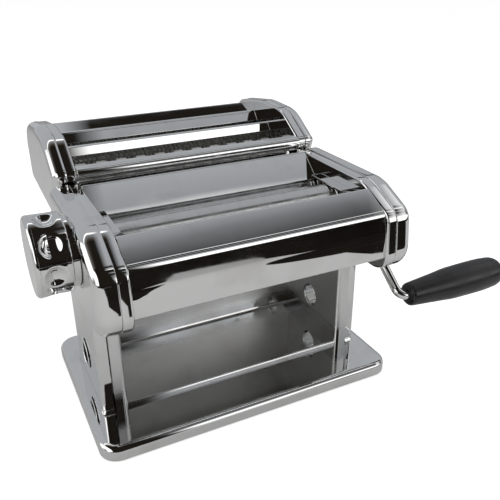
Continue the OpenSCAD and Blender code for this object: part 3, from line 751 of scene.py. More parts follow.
@dataclass(frozen=True)
class Stations:
    """Places along X and sheet sizes that several sub-assemblies share."""

    frame_x: float = 73.5
    seam_x: float = 79.5
    cover_x: float = 91.0
    sheet: float = 1.2
    web: float = 3.0
    rear_axis: Point2 = (14.0, 107.5)
    front_axis: Point2 = (-18.8, 107.5)
    knob_axis: Point2 = (-21.5, 112.3)


def main_rear_edge(z: float) -> float:
    """Place in Y of the main body's sloping rear edge at a height."""
    return 39 - (z - 100) * 13 / 31.3


# ---- Stand ------------------------------------------------------------------------------


@dataclass
class Stand:
    """Pressed base plate with the box that carries the rollers."""

    finishes: Finishes
    at: Stations
    corner_radius: float = 11.0
    edge_radius: float = 4.0
    foot_drop: float = 1.0
    base_top: float = 9.8
    floor_z: float = 12.7
    tray_top: float = 90.0
    back_top: float = 95.0
    inner_x: float = 73.0
    leg_x: float = 86.3
    leg_top: float = 88.0
    half_depth: float = 31.4
    clamp: Point2 = (2.0, 32.1)
    clamp_radius: float = 7.2
    collar_radius: float = 9.7

    def base(self) -> None:
        """Makes the base plate with its pressed rim."""
        low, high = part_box("base_plate")
        half_w, half_d = high.x / MM, high.y / MM
        r, t = self.edge_radius, self.at.sheet
        centre = (r, self.base_top - r)
        inner = [(r - (r - t) * math.cos(a), centre[1] + (r - t) * math.sin(a)) for a in self._quarter()]
        outer = [(r - r * math.cos(a), centre[1] + r * math.sin(a)) for a in self._quarter()]
        edge = [(t, self.foot_drop + 0.4), (t - 0.2, self.foot_drop + 0.1), (t / 2, self.foot_drop)]
        edge += [(0.2, self.foot_drop + 0.1), (0.0, self.foot_drop + 0.4)]
        rings = [
            [(x, y, z) for x, y in rounded_rectangle(half_w, half_d, self.corner_radius, inset)]
            for inset, z in inner[::-1] + edge + outer
        ]
        plate = Solid("base_plate_skin").loft(rings).build()
        self.finishes.fit(plate, "machine", Slot.CHROME, "base_plate")

    @staticmethod
    def _quarter(steps: int = 8) -> list[float]:
        """Angles of a quarter turn."""
        return [math.pi / 2 * i / steps for i in range(steps + 1)]

    def tray(self) -> None:
        """Makes the box's floor and back as one bent sheet, and its two side walls."""
        t = self.at.sheet
        front = -self.half_depth + 0.3
        path = corners(
            (front, self.base_top), (front, self.floor_z, 1.4), (self.half_depth - t, self.floor_z, 2.0),
            (self.half_depth - t, self.back_top),
        )
        floor = Solid("box_floor").prism(sheet_points(path, -t), -self.inner_x, self.inner_x).build(0.25)
        self.finishes.dull(self.finishes.fit(floor, "machine", Slot.CHROME, "stand_tray"))
        for side in Side:
            plan = corners(
                (79.4, -self.half_depth), (self.inner_x, -self.half_depth, 1.8),
                (self.inner_x, self.half_depth, 1.8), (79.4, self.half_depth),
            )
            rings = [
                [(x, y, z) for x, y in sheet_points(inset_path(plan, -grow), t + grow)]
                for z, grow in ((self.base_top, 0.7), (self.base_top + 0.8, 0.7), (self.base_top + 1.7, 0.0))
            ]
            rings.append([(x, y, self.tray_top) for x, y in sheet_points(plan, t)])
            wall = Solid(f"box_wall_{side.word}").loft(side.mirrored(rings)).build()
            bore = rod_along_x(*side.span(70, 78), self.clamp_radius + 1, *self.clamp)
            self.finishes.dull(self.finishes.fit(cut(wall, bore), "machine", Slot.CHROME))

    def legs(self) -> None:
        """Makes the outer legs with their flared feet, and the rolled clamp tubes."""
        t = self.at.sheet
        plan = corners(
            (80.0, -self.half_depth), (self.leg_x, -self.half_depth, 2.6),
            (self.leg_x, self.half_depth, 2.6), (80.0, self.half_depth),
        )
        flare = ((0.0, 1.0), (0.7, 1.0), (1.2, 0.7), (1.9, 0.2), (2.8, 0.0))
        rings = [
            [(x, y, self.base_top + dz) for x, y in sheet_points(inset_path(plan, -grow), t + grow)]
            for dz, grow in flare
        ]
        rings.append([(x, y, self.leg_top) for x, y in sheet_points(plan, t)])
        for side in Side:
            leg = Solid(f"leg_skin_{side.word}").loft(side.mirrored(rings)).build()
            bore = rod_along_x(*side.span(82, 90), self.clamp_radius + 1, *self.clamp)
            self.finishes.fit(cut(leg, bore), "machine", Slot.CHROME, f"leg_{side.word}")
            tube = Solid(f"clamp_collar_{side.word}").turned(self._collar(side.value), *self.clamp).build()
            self.finishes.fit(tube, "machine", Slot.CHROME, f"clamp_tube_{side.word}")

    def _collar(self, s: int) -> list[Point2]:
        """Closed (x, radius) outline of the clamp tube with its rolled ends."""
        x0, x1 = self.inner_x - 0.9, self.leg_x + 0.9
        bore, wall, lip, roll = self.clamp_radius, self.clamp_radius + 1, self.collar_radius, 0.9
        inner_end = arc((x0 + roll, bore + roll), roll, 270, 180) + arc((x0 + 0.5, lip - 0.5), 0.5, 180, 90)
        outer_end = arc((x1 - 0.5, lip - 0.5), 0.5, 90, 0) + arc((x1 - roll, bore + roll), roll, 0, -90)
        ring = inner_end + [(x0 + roll, wall), (x1 - roll, wall)] + outer_end
        ring.append(ring[0])
        return [(s * x, r) for x, r in ring]

    def build(self) -> None:
        """Makes the whole stand."""
        self.base()
        self.tray()
        self.legs()


# ---- Main body --------------------------------------------------------------------------


@dataclass
class MainBody:
    """Side frames, end covers and folded sheets round the rollers."""

    finishes: Finishes
    at: Stations
    frame_edge: float = 1.3
    cover_edge: float = 6.0
    wall: float = 1.5
    frame_profile: list[Corner] = field(default_factory=lambda: corners(
        (-76, 83, 13), (-35.5, 83, 2), (-33, 90, 1), (39, 90, 3), (39, 100, 10),
        (main_rear_edge(131.3), 131.3, 4), (-46.4, 131.3, 30), (-72.8, 119, 9),
    ))
    cover_profile: list[Corner] = field(default_factory=lambda: corners(
        (-77, 82, 16), (39, 82, 8), (39, 100, 10), (main_rear_edge(131.9), 131.9, 4), (-47, 131.9, 30),
        (-73, 119.6, 11),
    ))
    window: tuple[Point2, Point2] = ((-38.2, 94.4), (-0.1, 120.6))
    bush_radius: float = 9.5
    socket_hole: float = 8.6
    knob_hole: float = 6.0

    def frames(self) -> None:
        """Makes the pressed side frames with their windows for the roller blocks."""
        pan = pan_rings(
            self.frame_profile, self.at.frame_x, self.at.seam_x, self.at.web, self.wall, self.frame_edge
        )
        (y0, z0), (y1, z1) = self.window
        for side in Side:
            plate = Solid(f"frame_skin_{side.word}").loft(side.mirrored(pan)).build()
            x0, x1 = side.span(70, 78)
            hole = block((x0, y0, z0), (x1, y1, z1), 2.0)
            bush = rod_along_x(x0, x1, self.bush_radius, *self.at.rear_axis)
            self.finishes.fit(cut(plate, hole, bush), "machine", Slot.CHROME, f"side_frame_{side.word}")

    def covers(self) -> None:
        """Makes the deep end covers with their rounded outer edges."""
        holes = {
            Side.RIGHT: (self.socket_hole, *self.at.rear_axis),
            Side.LEFT: (self.knob_hole, *self.at.knob_axis),
        }
        rings = shell_rings(self.cover_profile, self.at.seam_x, self.at.cover_x, self.wall, self.cover_edge)
        for side in Side:
            cover = Solid(f"end_cover_skin_{side.word}").loft(side.mirrored(rings)).build()
            cut(cover, rod_along_x(*side.span(self.at.cover_x - 3, self.at.cover_x + 2), *holes[side]))
            self.finishes.fit(cover, "machine", Slot.CHROME, f"end_cover_{side.word}")

    def sheets(self) -> None:
        """Makes the folded sheets between the frames."""
        t, x = self.at.sheet, self.at.frame_x
        front = corners(
            (-51.4, 125.6), (-51.9, 129.6, 1.3), (-69.6, 119.8, 5), (-72.6, 106, 30), (-72.4, 92.6, 1.3),
            (-68.8, 91.8),
        )
        rear = corners((38, 91.8), (38, 100, 8), (main_rear_edge(130.2) - 1, 130.2))
        hopper = corners((main_rear_edge(131.7) - 0.2, 131.8), (18, 131.8, 2), (2.2, 118.2))
        for name, path, node in (
            ("front_cover_skin", front, "front_cover"),
            ("rear_cover_skin", rear, "rear_cover"),
            ("hopper_panel_skin", hopper, "hopper_panel"),
        ):
            sheet = Solid(name).prism(sheet_points(path, t), -x, x).build(0.3, 3)
            if node == "rear_cover":
                spans = [side.span(70.9, 76) for side in Side]
                cut(sheet, *(block((x0, 20, 98.6), (x1, 45, 118)) for x0, x1 in spans))
            self.finishes.fit(sheet, "machine", Slot.CHROME, node)
        guide = corners((-2.6, 123.2), (-36, 123.2, 8), (-50.6, 126.9))
        for side in Side:
            plate = Solid(f"feed_guide_skin_{side.word}").prism(sheet_points(guide, t), *side.span(66.5, x))
            self.finishes.fit(plate.build(0.35, 3), "machine", Slot.CHROME, f"feed_guide_{side.word}")

    def build(self) -> None:
        """Makes the whole main body."""
        self.frames()
        self.covers()
        self.sheets()


def edge_arc(x: float, inwards: int, radius: float, steps: int = 6) -> list[tuple[float, float]]:
    """Stations of a quarter-round edge, as (x, inset) pairs that end on the flat face.

    Args:
        x: Place of the flat face.
        inwards: Direction along X from the face into the piece.
        radius: Radius of the edge.
        steps: Number of stations less one.

    Returns:
        The pairs, from the side wall to the face.
    """
    angles = [math.pi / 2 * i / steps for i in range(steps + 1)]
    return [(x + inwards * radius * (1 - math.sin(a)), radius * (1 - math.cos(a))) for a in angles]


def station_rings(profile: Sequence[Corner], stations: Sequence[tuple[float, float]]) -> list[list[Point3]]:
    """One ring of points at each (x, inset) station of a profile."""
    return [[(x, y, z) for y, z in loop_points(inset_loop(profile, inset))] for x, inset in stations]


def shell_rings(
    profile: Sequence[Corner], x0: float, x1: float, wall: float, edge: float
) -> list[list[Point3]]:
    """Rings of a hollow cover that is open on its inner side.

    Args:
        profile: Side profile.
        x0: Place of the open side.
        x1: Place of the closed outer face.
        wall: Thickness.
        edge: Radius of the outer edge.

    Returns:
        The rings, from the inner face round to the outer one.
    """
    lip = 0.5
    inner = [(x, wall + inset) for x, inset in edge_arc(x1 - wall, -1, edge - wall)][::-1] + [(x0, wall)]
    rim = [(x0 + lip * (1 - math.cos(a)), lip * (1 - math.sin(a))) for a in (0, math.pi / 4, math.pi / 2)]
    return station_rings(profile, inner + rim + edge_arc(x1, -1, edge, 8))


def pan_rings(
    profile: Sequence[Corner], x0: float, x1: float, web: float, wall: float, edge: float
) -> list[list[Point3]]:
    """Rings of a shallow pan whose web is on its inner side.

    Args:
        profile: Side profile.
        x0: Place of the web's face.
        x1: Place of the open rim.
        web: Thickness of the web.
        wall: Thickness of the rim.
        edge: Radius of the edge round the web.

    Returns:
        The rings, from the inside of the web round to its face.
    """
    lip = 0.5
    inner = [(x0 + web, wall), (x1 - lip, wall), (x1, wall - lip / 2)]
    rim = [(x1 - lip * (1 - math.cos(a)), lip * (1 - math.sin(a))) for a in (0, math.pi / 4, math.pi / 2)]
    return station_rings(profile, inner + rim + edge_arc(x0, 1, edge))


# ---- Rollers ----------------------------------------------------------------------------


@dataclass
class SmoothRollers:
    """The two long rollers with their eased ends."""

    finishes: Finishes
    at: Stations
    radius: float = 14.0
    half_length: float = 72.4
    ease: float = 0.8

    def build(self) -> None:
        """Makes both rollers; their journals are separate rods inside the frames."""
        for name, node, body, (y, z), end in (
            ("rear_roller_skin", "rear_roller", "drive_roller", self.at.rear_axis, 92.2),
            ("front_roller_skin", "front_roller", "moving_roller", self.at.front_axis, 86.2),
        ):
            barrel = Solid(name).turned(self._profile(end), y, z, 128).build()
            if node == "rear_roller":
                socket = rod_along_x(75, end + 2, 5.0, y, z)
                keyway = block((75, y - 6.6, z - 1.1), (end + 2, y + 6.6, z + 1.1))
                cut(barrel, socket, keyway)
            self.finishes.fit(barrel, body, Slot.ALUMINIUM, node)

    def _profile(self, end: float) -> list[Point2]:
        """(x, radius) points of a roller with its journals, where the right one ends at end."""
        half, r, e = self.half_length, self.radius, self.ease
        left = arc((-half + e, r - e), e, 180, 90)
        right = arc((half - e, r - e), e, 90, 0)
        groove = [(half - 3.2, r), (half - 2.9, r - 0.35), (half - 2.6, r)]
        mirrored = [(-x, radius) for x, radius in groove[::-1]]
        return (
            [(-78.4, 0), (-78.4, 7.6), (-78.0, 8), (-half, 8)] + left + mirrored + groove + right
            + [(half, 8), (end - 0.4, 8), (end, 7.6), (end, 0)]
        )


# ---- Knob -------------------------------------------------------------------------------


@dataclass
class ThicknessKnob:
    """Scalloped knob over its fixed locating ring."""

    finishes: Finishes
    at: Stations
    inner_x: float = 92.9
    outer_x: float = 111.4
    cap_x: float = 108.8
    root_radius: float = 21.0
    radius: float = 21.5
    cap_edge: float = 2.4
    scoops: int = 8
    scoop_x: float = 101.6
    scoop_half_length: float = 5.4
    scoop_taper: float = 4.6
    scoop_depth: float = 2.7
    drum_radius: float = 9.0
    softness: float = 0.28
    scoop_turn: float = 12.0

    def scooped(self, x: float, radius: float, angle: float) -> float:
        """Radius of the knob's side where its finger hollows are cut by a drum with tapered ends."""
        if radius < self.root_radius - 1.0:
            return radius
        past_flat = abs(abs(x) - self.scoop_x) - (self.scoop_half_length - self.scoop_taper)
        drum = self.drum_radius - self.scoop_depth * (max(0.0, past_flat) / self.scoop_taper) ** 2
        centre = (self.root_radius + self.radius) / 2 + self.drum_radius - self.scoop_depth
        pitch = 2 * math.pi / self.scoops
        off = ((angle + math.radians(self.scoop_turn)) % pitch) - pitch / 2
        under = drum * drum - (centre * math.sin(off)) ** 2
        if under <= 0:
            return radius
        floor = centre * math.cos(off) - math.sqrt(under)
        low, gap = min(radius, floor), abs(radius - floor)
        return low - self.softness * math.log(1 + math.exp(-gap / self.softness))

    def build(self) -> None:
        """Makes the knob's body and its cap."""
        y, z = self.at.knob_axis
        side = self._side()
        inside = [(-self.inner_x - 0.2, 4.2), (-self.inner_x, 4.6), (-self.inner_x, self.root_radius - 0.9)]
        bore = [(-self.cap_x, 8.0), (-96.5, 8.0), (-96.5, 4.05)]
        outline = inside + side + bore
        body = Solid("knob_skin").turned(outline + [outline[0]], y, z, 256, self.scooped).build()
        self.finishes.fit(body, "knob", Slot.CHROME, "knob")
        edge = self.cap_edge
        rim = arc((-self.outer_x + edge, self.radius - edge), edge, 90, 180, 10)
        face = [(-self.cap_x, 0), (-self.cap_x, self.radius - 0.2)] + rim
        dish = -self.outer_x + 0.1
        face += [(dish, self.radius - edge - 0.8), (dish + 0.02, 6.0), (dish, 0)]
        cap = Solid("knob_cap_skin").turned(face, y, z, 128).build()
        self.finishes.fit(cap, "knob", Slot.CHROME, "knob_cap")

    def _side(self, steps: int = 56) -> list[Point2]:
        """(x, radius) points along the knob's side, from its root to its cap."""
        root, r0, r1 = 0.7, self.root_radius, self.radius - 0.1
        points = arc((-self.inner_x - root, r0 - root), root, 0, 90, 4)
        x0 = self.inner_x + root
        for i in range(1, steps + 1):
            share = i / steps
            points.append((-(x0 + (self.cap_x - x0) * share), r0 + (r1 - r0) * share))
        return points


# ---- Crank ------------------------------------------------------------------------------


@dataclass
class Crank:
    """Bent rod with its free-turning grip."""

    finishes: Finishes
    at: Stations
    length: float = 90.0
    rod_radius: float = 3.0
    slope: float = 37.5
    arm_x: float = 101.5
    bend_radius: float = 8.0
    low_bend_radius: float = 6.0
    grip_start: float = 107.5
    grip_end: float = 185.0

    def build(self) -> None:
        """Makes the rod and the grip."""
        y0, z0 = self.at.rear_axis
        slope = math.radians(self.slope)
        rod = Solid("crank_rod")
        rod.tube([self._turned(x, out, y0, z0, slope) for x, out in self._path()], self.rod_radius)
        shank = [(75.6, 0), (75.6, 4.4), (76.2, 4.95), (95.0, 4.95), (96.0, 4.2), (96.0, 0)]
        rod.turned(shank, y0, z0, 48)
        pin = block((79.0, y0 - 6.3, z0 - 0.95), (81.0, y0 + 6.3, z0 + 0.95), 0.6)
        cross_pin = pin.build()
        arm = join(rod.build(), cross_pin)
        self.finishes.fit(arm, "crank", Slot.CHROME, "crank_arm")
        grip_y, grip_z = y0 - self.length * math.cos(slope), z0 - self.length * math.sin(slope)
        grip = Solid("grip_skin").turned(self._grip(), grip_y, grip_z, 96).build()
        self.finishes.fit(grip, "grip", Slot.GRIP, "crank_grip")

    def _path(self) -> list[Point2]:
        """(x, distance from the crank's axis) along the rod's centre line."""
        r, low = self.bend_radius, self.low_bend_radius
        upper = arc((self.arm_x - r, r), r, -90, 0, 10)
        lower = arc((self.arm_x + low, self.length - low), low, 180, 90, 10)
        return [(80.0, 0.0)] + upper + lower + [(self.grip_end - 9, self.length)]

    @staticmethod
    def _turned(x: float, out: float, y0: float, z0: float, slope: float) -> Point3:
        """A point of the rod in the part's frame."""
        return (x, y0 - out * math.cos(slope), z0 - out * math.sin(slope))

    def _grip(self) -> list[Point2]:
        """(x, radius) outline of the grip, from its bore at the arm to its round end."""
        end = self.grip_end
        angles = [math.pi / 2 * i / 14 for i in range(14)]
        dome = [(end - 9.5 + 9.5 * math.sin(a), 10.3 * math.cos(a) ** 0.62) for a in angles] + [(end, 0)]
        neck = [(109.6, 7.6), (122.0, 8.7), (134.5, 9.9), (138.5, 10.4), (143.0, 10.65), (155.0, 10.85)]
        neck.append((163.0, 10.9))
        mouth = [(self.grip_start + 0.4, self.rod_radius + 0.05), (self.grip_start, self.rod_radius + 0.5)]
        mouth += [(self.grip_start, 5.8), (self.grip_start + 0.3, 6.7), (self.grip_start + 1.0, 7.3)]
        tail = [(170.0, 10.8)]
        return [(160.0, 0), (160.0, self.rod_radius + 0.05)] + mouth + neck + tail + dome


def join(target: bpy.types.Object, *others: bpy.types.Object) -> bpy.types.Object:
    """Moves the meshes of other objects into one.

    Args:
        target: The object that keeps its name.
        others: Objects that go into it.

    Returns:
        The joined object.
    """
    mesh = bmesh.new()
    for piece in (target, *others):
        mesh.from_mesh(piece.data)
    mesh.to_mesh(target.data)
    mesh.free()
    for piece in others:
        bpy.data.objects.remove(piece)
    target.data.polygons.foreach_set("use_smooth", [True] * len(target.data.polygons))
    target.data.set_sharp_from_angle(angle=SHARP_ANGLE)
    return target


# ---- Cutter attachment ------------------------------------------------------------------


@dataclass
class Cutter:
    """Lift-off attachment with a wide and a narrow pair of cutting rollers."""

    finishes: Finishes
    at: Stations
    web: float = 2.0
    wall: float = 1.5
    seam_x: float = 79.3
    cover_x: float = 87.5
    frame_edge: float = 1.2
    cover_edge: float = 6.0
    cover_grow: float = 0.3
    axis_z: float = 122.5
    sockets: tuple[float, float] = (42.7, 95.0)
    socket_hole: float = 7.4
    profile: list[Corner] = field(default_factory=lambda: corners(
        (main_rear_edge(102.5) + 0.9, 102.5, 4), (124.5, 106, 9), (125.5, 134, 10), (118, 148.2, 12),
        (80, 153.8, 40), (51, 153, 30), (25.6, 137.2, 4.5),
    ))
    tongue: tuple[Point3, Point3] = ((71.3, 31.4, 97.6), (73.2, 36.2, 122.0))

    def sides(self) -> None:
        """Makes the pressed frames, their tongues and their covers."""
        outer = inset_loop(self.profile, -self.cover_grow)
        pan = pan_rings(self.profile, self.at.frame_x, self.seam_x, self.web, self.wall, self.frame_edge)
        rings = shell_rings(outer, self.seam_x, self.cover_x, self.wall, self.cover_edge)
        (near, y0, z0), (far, y1, z1) = self.tongue
        for side in Side:
            plate = Solid(f"cutter_frame_skin_{side.word}").loft(side.mirrored(pan)).build()
            parts = []
            for reach, low, high in ((far, z0, z1), (74, z1 - 1, z1 + 7)):
                x0, x1 = side.span(near, reach)
                parts.append(block((x0, y0, low), (x1, y1, high), 0.8).build())
            join(plate, *parts)
            self.finishes.fit(plate, "cutter", Slot.CHROME, f"cutter_frame_{side.word}")
            cover = Solid(f"cutter_cover_skin_{side.word}").loft(side.mirrored(rings)).build()
            if side is Side.RIGHT:
                x0, x1 = self.cover_x - 3, self.cover_x + 2
                cut(cover, *(rod_along_x(x0, x1, self.socket_hole, y, self.axis_z) for y in self.sockets))
            self.finishes.fit(cover, "cutter", Slot.CHROME, f"cutter_cover_{side.word}")

    def sheets(self) -> None:
        """Makes the front bar, the divider and the rear cover."""
        t, x = self.at.sheet, self.at.frame_x
        for node, path in (
            ("cutter_front_bar", corners(
                (24.2, 134.8), (24.2, 139.4, 3.2), (34.8, 139.4, 2.5), (34.8, 134.8),
            )),
            ("cutter_divider", corners((66.2, 135.3), (70.9, 140, 1.4), (74.5, 140, 1.4), (79.5, 134.5))),
            ("cutter_rear_cover", corners((87, 138.2), (91.5, 144.6, 3), (115.6, 147.2, 8), (122.8, 134, 9),
                                          (122.2, 108))),
        ):
            sheet = Solid(f"{node}_skin").prism(sheet_points(path, -t), -x, x).build(0.3, 3)
            self.finishes.fit(sheet, "cutter", Slot.CHROME, node)

    def build(self) -> None:
        """Makes the whole attachment."""
        self.sides()
        self.sheets()


# ---- Studio -----------------------------------------------------------------------------


@dataclass
class Studio:
    """Pale floor, plain lights and a dome of cards that the bright metal mirrors."""

    floor_radius: float = 6.0
    floor_glow: float = 0.70
    light_from_world: float = 0.36
    dome_radius: float = 5.0
    screen_radius: float = 0.75
    screen_low: float = 0.062
    screen_top: float = 0.1
    card_height: float = 0.0006
    left_card: tuple[tuple[Point2, Point2], ...] = (
        ((-0.034, -0.268), (-0.022, -0.266)), ((-0.020, -0.34), (0.002, -0.335)),
        ((-0.06, -0.43), (0.026, -0.42)),
        ((-0.30, -0.53), (0.062, -0.53)), ((-0.45, -0.62), (0.135, -0.76)),
    )
    oval_centre: Point2 = (0.33, -0.45)
    oval_way: Point2 = (0.59, -0.81)
    oval_length: float = 0.27
    oval_width: float = 0.13
    focal_px: float = 620.84
    picture_px: float = 500.0
    sensor_mm: float = 36.0
    azimuth: float = -26.252
    elevation: float = 25.463
    roll: float = -0.380
    eye: Point3 = (-135.56, -323.35, 249.90)

    def camera(self) -> None:
        """Places the camera at its measured viewpoint."""
        data = bpy.data.cameras.new("camera")
        data.sensor_width = self.sensor_mm
        data.lens = self.focal_px / self.picture_px * self.sensor_mm
        data.clip_start = 0.01
        data.clip_end = 20
        camera = placed("camera", data)
        a, e, r = (math.radians(v) for v in (self.azimuth, self.elevation, self.roll))
        back = Vector((math.sin(a) * math.cos(e), -math.cos(a) * math.cos(e), math.sin(e)))
        right = Vector((0, 0, 1)).cross(back).normalized()
        up = back.cross(right)
        right, up = math.cos(r) * right + math.sin(r) * up, -math.sin(r) * right + math.cos(r) * up
        turn = Matrix((right, up, back)).transposed().to_4x4()
        camera.matrix_world = Matrix.Translation(Vector(self.eye) * MM) @ turn
        bpy.context.scene.camera = camera

    def world(self) -> None:
        """White surroundings, dimmer as a light than they look."""
        world = bpy.data.worlds.new("white_room")
        bpy.context.scene.world = world
        world.use_nodes = True
        tree = world.node_tree
        background = tree.nodes["Background"]
        background.inputs["Color"].default_value = (1, 1, 1, 1)
        path = tree.nodes.new("ShaderNodeLightPath")
        kinds = ("Is Camera Ray", "Is Glossy Ray", "Is Transmission Ray")
        shown = self._any_of(tree, [path.outputs[kind] for kind in kinds])
        ranger = tree.nodes.new("ShaderNodeMapRange")
        ranger.inputs["To Min"].default_value = self.light_from_world
        tree.links.new(shown, ranger.inputs["Value"])
        tree.links.new(ranger.outputs["Result"], background.inputs["Strength"])

    @staticmethod
    def _any_of(
        tree: bpy.types.NodeTree, outputs: Sequence[bpy.types.NodeSocket]
    ) -> bpy.types.NodeSocket:
        """The largest of several values."""
        result = outputs[0]
        for output in outputs[1:]:
            node = tree.nodes.new("ShaderNodeMath")
            node.operation = "MAXIMUM"
            tree.links.new(result, node.inputs[0])
            tree.links.new(output, node.inputs[1])
            result = node.outputs[0]
        return result

    def floor(self) -> None:
        """A pale round floor that keeps a soft shadow."""
        mesh = bmesh.new()
        bmesh.ops.create_circle(mesh, cap_ends=True, segments=96, radius=self.floor_radius)
        floor = mesh_object("floor", mesh)
        material = bpy.data.materials.new("pale_floor")
        material.use_nodes = True
        tree = material.node_tree
        shader = tree.nodes["Principled BSDF"]
        shader.inputs["Base Color"].default_value = (0.80, 0.80, 0.80, 1)
        shader.inputs["Roughness"].default_value = 0.9
        shader.inputs["Specular IOR Level"].default_value = 0.0
        shader.inputs["Emission Color"].default_value = (1, 1, 1, 1)
        path = tree.nodes.new("ShaderNodeLightPath")
        ranger = tree.nodes.new("ShaderNodeMapRange")
        ranger.inputs["To Max"].default_value = self.floor_glow
        tree.links.new(path.outputs["Is Camera Ray"], ranger.inputs["Value"])
        tree.links.new(ranger.outputs["Result"], shader.inputs["Emission Strength"])
        floor.data.materials.append(material)

    def dome(self) -> None:
        """Cards round the object that only its bright surfaces mirror."""
        mesh = bmesh.new()
        bmesh.ops.create_uvsphere(mesh, u_segments=96, v_segments=48, radius=self.dome_radius)
        below = [v for v in mesh.verts if v.co.z < -0.01]
        bmesh.ops.delete(mesh, geom=below, context="VERTS")
        dome = mesh_object("cards", mesh)
        dome.visible_camera = False
        dome.visible_diffuse = False
        dome.visible_transmission = False
        dome.visible_shadow = False
        dome.visible_volume_scatter = False
        dome.data.materials.append(Cards(self.dome_radius).build())

    def screens(self) -> None:
        """A low dark screen in front, and two dark cards on the floor before it."""
        n = Nodes("dark_screen")
        n.shader.inputs["Roughness"].default_value = 1.0
        n.shader.inputs["Specular IOR Level"].default_value = 0.0
        cloth = n.blend(n.noise(9.0), (0.004, 0.003, 0.003), (0.03, 0.026, 0.022))
        n.link(cloth, n.shader.inputs["Base Color"])
        for name, rows in (
            ("low_screen", self._wall()),
            ("left_card", [[(x, y, self.card_height) for x, y in row] for row in self.left_card]),
            ("right_card", self._oval()),
        ):
            solid = Solid(name)
            edges = [solid.ring([(x / MM, y / MM, z / MM) for x, y, z in row]) for row in rows]
            for first, second in zip(edges, edges[1:]):
                solid.bridge(first, second, closed=False)
            card = solid.build()
            card.visible_camera = False
            card.visible_diffuse = False
            card.visible_shadow = False
            card.data.materials.append(n.material)

    def _wall(self) -> list[list[Point3]]:
        """Rows from the lower to the upper edge of the screen, one for each degree of its arc."""
        r = self.screen_radius
        return [
            [(r * math.sin(math.radians(a)), -r * math.cos(math.radians(a)), z)
             for z in (self._low_edge(a), self.screen_top)]
            for a in range(-60, 81)
        ]

    def _oval(self) -> list[list[Point3]]:
        """Rows across the oval card on the floor, from its near tip to its far one."""
        (cx, cy), (ux, uy), z = self.oval_centre, self.oval_way, self.card_height
        rows = []
        for i in range(1, 24):
            turn = math.pi * i / 24
            along, half = self.oval_length * math.cos(turn), self.oval_width * math.sin(turn)
            x, y = cx - along * ux, cy - along * uy
            rows.append([(x + uy * half, y - ux * half, z), (x - uy * half, y + ux * half, z)])
        return rows

    def _low_edge(self, angle: float) -> float:
        """Height of the screen's lower edge, which lifts off the floor over a stretch of its arc."""
        rise, fall = (min(1.0, max(0.0, v)) for v in ((angle - 6.5) / 4.5, (29.0 - angle) / 8.0))
        return self.screen_low * rise * rise * (3 - 2 * rise) * fall * fall * (3 - 2 * fall)

    def lamps(self) -> None:
        """Two soft lamps that light the object without showing in the metal."""
        for name, place, size, power in (
            ("key", (-0.5, -0.7, 1.1), 0.9, 5.0),
            ("fill", (0.7, 0.3, 1.2), 1.1, 4.0),
        ):
            data = bpy.data.lights.new(name, "AREA")
            data.shape = "DISK"
            data.size = size
            data.energy = power
            lamp = placed(name, data)
            lamp.location = place
            lamp.rotation_euler = (-Vector(place)).to_track_quat("-Z", "Y").to_euler()
            lamp.visible_glossy = False

    def build(self) -> None:
        """Makes the whole studio."""
        self.camera()
        self.world()
        self.floor()
        self.dome()
        self.screens()
        self.lamps()
        bpy.context.scene.view_settings.view_transform = "Standard"


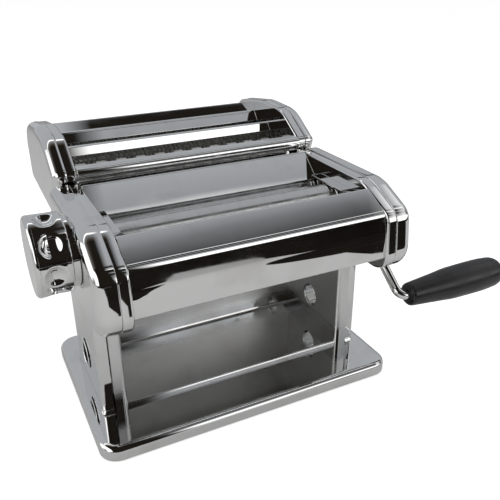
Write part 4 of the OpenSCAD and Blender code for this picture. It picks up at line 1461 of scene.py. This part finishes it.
@dataclass(frozen=True)
class Cards:
    """Light and dark cards on the dome, as strips that run along X from the front over to the back."""

    radius: float
    white: float = 1.6
    grey: float = 0.46
    dark: float = 0.012
    cool_above: float = 0.1
    plain_above: float = 0.6

    def _right_stops(self) -> tuple[Point2, ...]:
        """(degrees from the front, brightness) of the cards over the right of the dome."""
        white, grey, dark = self.white, self.grey, self.dark
        return (
            (0, white), (26, white), (29, 0.75), (33, 0.55), (38, grey), (43, 0.18), (48, 0.02), (54, 0.02),
            (55.5, 0.4), (59, 0.4), (60.5, dark), (73.2, dark), (74, white), (76.2, white), (77, 0.36),
            (80, grey), (84, grey), (85.5, 0.04), (92, 0.05), (94.3, 0.10), (95.6, 0.20), (96.8, 0.36),
            (98.5, grey), (149, grey), (149.6, dark), (153.8, dark), (154.6, 0.42), (168, grey), (173, 0.10),
            (180, 0.08),
        )

    def _left_stops(self) -> tuple[Point2, ...]:
        """(degrees from the front, brightness) of the cards over the left of the dome."""
        return (
            (0, self.dark), (104, self.dark), (110, 0.06), (121, 0.3), (122.5, self.white),
            (125.5, self.white), (127, self.grey), (170, self.grey), (180, 0.5),
        )

    def build(self) -> bpy.types.Material:
        """Makes the dome's material."""
        n = Nodes("studio_cards")
        x, y, z = n.axes().outputs
        turn = n.math("ARCTAN2", z, n.math("MULTIPLY", y, -1.0))
        angle = n.scaled(turn, 0.0, 1.0, 0.0, math.pi)
        right = self._ramp(n, angle, self._right_stops())
        left = self._ramp(n, angle, self._left_stops())
        lean = n.scaled(turn, 0.0, 0.085 * self.radius, 0.0, math.radians(77))
        across = n.scaled(n.sum(x, lean), 0.0, 1.0, 0.222 * self.radius, 0.268 * self.radius)
        strips = self._mixed(n, across, left, right)
        bright = n.add("ShaderNodeRGB")
        bright.outputs[0].default_value = (self.white, self.white, self.white, 1.0)
        glow = n.add("ShaderNodeEmission")
        n.link(self._mixed(n, self._columns(n, x, turn), strips, bright.outputs[0]), glow.inputs["Color"])
        n.link(glow.outputs["Emission"], n.tree.nodes["Material Output"].inputs["Surface"])
        n.tree.nodes.remove(n.shader)
        return n.material

    def _columns(self, n: Nodes, x: bpy.types.NodeSocket, turn: bpy.types.NodeSocket) -> bpy.types.NodeSocket:
        """Share of the two bright columns: one beside the left end, and a low one beside the right end."""
        place = n.scaled(x, 0.0, 1.0, -self.radius, self.radius)
        low = n.scaled(turn, 1.0, 0.0, math.radians(104), math.radians(110))
        beside = self._steps(n, place, ((-1, 0.0), (0.57, 0.0), (0.63, 0.42), (0.82, 0.42), (0.88, 0.0)))
        streak = self._steps(n, place, ((-1, 0.0), (-0.93, 1.0), (-0.74, 1.0), (-0.70, 0.0)))
        return n.sum(n.math("MULTIPLY", beside, low), streak)

    @staticmethod
    def _mixed(
        n: Nodes, factor: bpy.types.NodeSocket, first: bpy.types.NodeSocket, second: bpy.types.NodeSocket
    ) -> bpy.types.NodeSocket:
        """Mixes two colours by a factor."""
        mix = n.add("ShaderNodeMix", data_type="RGBA")
        n.link(factor, mix.inputs["Factor"])
        n.link(first, mix.inputs["A"])
        n.link(second, mix.inputs["B"])
        return mix.outputs["Result"]

    def _tinted(self, value: float) -> tuple[float, float, float, float]:
        """Colour of a card: warm when it is dark, cool when it is grey."""
        if value < self.cool_above:
            return (1.2 * value, value, 0.8 * value, 1.0)
        if value < self.plain_above:
            return (0.965 * value, value, 1.05 * value, 1.0)
        return (value, value, value, 1.0)

    def _ramp(self, n: Nodes, angle: bpy.types.NodeSocket, stops: Sequence[Point2]) -> bpy.types.NodeSocket:
        """A run of cards over the dome, given as (degrees from the front, brightness) stops."""
        return self._colours(n, angle, [(place / 180, self._tinted(value)) for place, value in stops])

    def _steps(self, n: Nodes, place: bpy.types.NodeSocket, stops: Sequence[Point2]) -> bpy.types.NodeSocket:
        """Shares over the dome's width, given as (place from -1 to 1, share) stops."""
        return self._colours(n, place, [(at / 2 + 0.5, (share, share, share, 1.0)) for at, share in stops])

    @staticmethod
    def _colours(
        n: Nodes, value: bpy.types.NodeSocket, stops: Sequence[tuple[float, tuple]]
    ) -> bpy.types.NodeSocket:
        """A colour ramp with (position, colour) stops."""
        ramp = n.add("ShaderNodeValToRGB")
        elements = ramp.color_ramp.elements
        while len(elements) > 1:
            elements.remove(elements[-1])
        for i, (place, colour) in enumerate(stops):
            stop = elements[0] if i == 0 else elements.new(place)
            stop.position = place
            stop.color = colour
        n.link(value, ramp.inputs["Fac"])
        return ramp.outputs["Color"]


def main() -> None:
    """Builds every sub-assembly and the studio."""
    logging.basicConfig(level=logging.INFO, format="%(name)s: %(message)s")
    Studio().build()
    finishes = Finishes()
    finishes.dress_nodes()
    at = Stations()
    for assembly in (Stand, MainBody, SmoothRollers, ThicknessKnob, Crank, Cutter):
        LOG.info("building %s", assembly.__name__)
        assembly(finishes, at).build()


if __name__ == "__main__":
    main()
